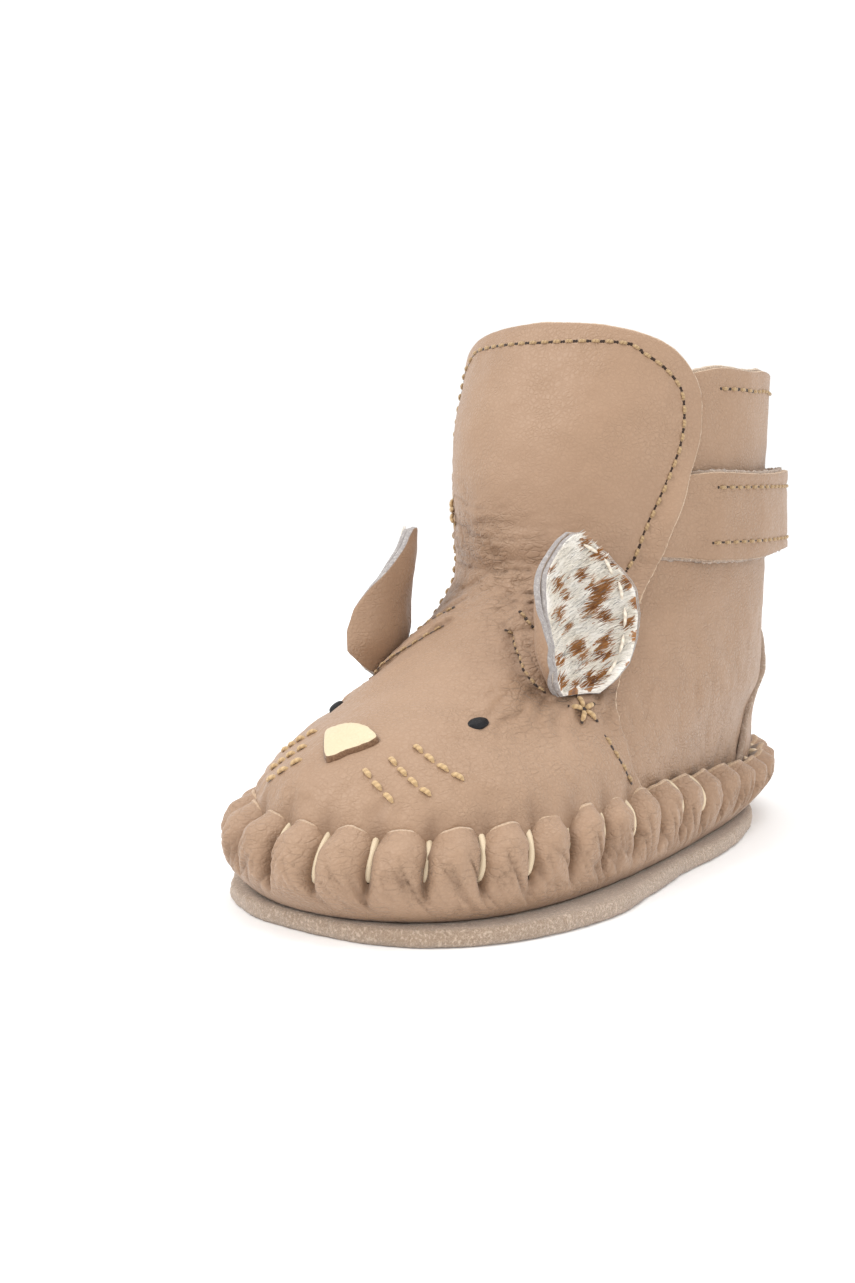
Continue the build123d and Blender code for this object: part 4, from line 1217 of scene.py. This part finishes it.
def hair_spots(side, points, facing, s):
    """Hairs strewn over the hide's face, that lie towards its heel side and upwards. s is where each point
    of the face is across the leaf. Gives their spots, and the values of the hairs' roots."""
    rows, cols = s.shape
    spots = []
    roots = []
    greys = []
    for _ in range(5200):
        j, i = rng.uniform(0.5, rows - 1.6), rng.uniform(0.5, cols - 1.6)
        reach = s[int(j)].max()
        if rng.uniform() > reach / 10.8:
            continue
        low_j, low_i = int(j), int(i)
        here, right, above = points[low_j, low_i], points[low_j, low_i + 1], points[low_j + 1, low_i]
        root = here * (1 - (j - low_j)) + above * (j - low_j) + (right - here) * (i - low_i)
        normal = facing[low_j, low_i]
        way = unit(right - here) * side * rng.uniform(0.75, 1.1) + UP * rng.uniform(0.15, 0.75)
        way = unit(way + normal * rng.uniform(0.02, 0.16) + rng.normal(0, 0.08, 3))
        long = rng.uniform(1.4, 2.8)
        if s[low_j, low_i] + long * 1.1 > reach:
            continue
        spots.append((root - normal * 0.1, way, normal, (long, 1.0, long * 0.55)))
        roots.append(root)
        greys.append(rng.uniform(0, 1) ** 9 * 0.8)
    return spots, {"root": np.array(roots), "grey": np.array(greys)}


RIM_PITCH = 4.6
for side, name in zip(SIDES, ("outer", "inner")):
    body = "ear_" + name
    s, level = leaf_grid(0.0)
    points = ear_point(side, s, level, 1.1)[:, ::-side]
    wave = rough(points, 7, 61 + side, 2)[..., None] * 0.25
    leaf_sides = [LEATHER_MAT, FLESH_MAT, HIDE_EDGE_MAT]
    leaf = panel(body + "_leaf", points + wave, 1.05, leaf_sides, {"worn": np.full(s.shape, 0.3)}, 0.08, 0.1)
    settle(leaf, body, "leather", body + "_leather")
    s, level = leaf_grid(0.25)
    points = ear_point(side, s, level, -0.95)[:, ::side]
    hide_points = points + wave[:, ::-1]
    hide = panel(body + "_hide", hide_points, 0.9, [HIDE_MAT, HIDE_MAT, HIDE_EDGE_MAT], None, 0.12, 0.12)
    settle(hide, body, "ear_fur", body + "_fur")
    spots, root_values = hair_spots(side, hide_points, grid_normals(points), s[:, ::side])
    settle(placed(body + "_hair", spots, HAIR, HAIR_MAT, **root_values), body, "ear_fur")
    rim_stops = [(reach - 2.6, level) for level, _, reach in LEAF[1:8]]
    rim = smooth_path(rim_stops + [(0.5, 24.6), (-3.0, 23.0)], 300)
    rim_points = ear_point(side, rim[:, 0], rim[:, 1], -1.35)
    far = travelled(rim_points)
    forward = np.array([side * math.cos(EAR_TURN), -math.sin(EAR_TURN), 0.0])
    spans = []
    for k in range(int(far[-1] / RIM_PITCH)):
        ends = (np.array([np.interp(k * RIM_PITCH + shift, far, axis) for axis in rim_points.T])
                for shift in (0.5, 3.9))
        spans.append((*ends, forward))
    sew(body + "_threads", spans, EAR_THREAD_MAT, body, body + "_stitches", wide=0.85, holes=False)

for shape in (STITCH, HOLE, HAIR):
    bpy.data.objects.remove(shape)

# ---------------------------------------------------------------- stage, light and camera

floor_maker = Maker("paper_floor")
paper = floor_maker.noise(floor_maker.coordinates(), 1.2, 3.0)
paper_tone = floor_maker.mix(paper, (0.96, 0.96, 0.96), (0.985, 0.985, 0.985))
FLOOR_MAT = floor_maker.finish(paper_tone, 0.75, floor_maker.bump(paper, 0.15, 0.1))
corners = [(-4000, -4000, 0), (4000, -4000, 0), (4000, 4000, 0), (-4000, 4000, 0)]
new_object("floor", corners, [(0, 1, 2, 3)], [FLOOR_MAT])

world = bpy.data.worlds.new("studio")
bpy.context.scene.world = world
world.use_nodes = True
world.node_tree.nodes["Background"].inputs["Color"].default_value = (1.0, 1.0, 1.0, 1.0)
world.node_tree.nodes["Background"].inputs["Strength"].default_value = 1.05

# Square soft lights: place and size in metres, power in watts, all aimed at the middle of the bootie
for name, place, size, power in (("key_light", (-0.30, -0.60, 0.75), 0.35, 4.0),
                                 ("top_light", (0.10, 0.15, 0.95), 0.6, 3.0),
                                 ("side_light", (0.9, -0.05, 0.35), 0.5, 1.2)):
    light = bpy.data.lights.new(name, "AREA")
    light.shape = "SQUARE"
    light.size = size
    light.energy = power
    lamp = linked(name, light)
    lamp.location = place
    lamp.rotation_euler = (Vector((0, 0, 0.04)) - Vector(place)).to_track_quat("-Z", "Y").to_euler()

bpy.context.scene.view_settings.view_transform = "Standard"
bpy.context.scene.view_settings.look = "None"
lens = bpy.data.cameras.new("camera")
lens.lens = 42.51
lens.sensor_width = 36.0
camera = linked("camera", lens)
camera.location = (0.155774, -0.234229, 0.071)
camera.rotation_euler = (math.radians(90 - 6.43), 0.0, math.radians(37.47))
bpy.context.scene.camera = camera
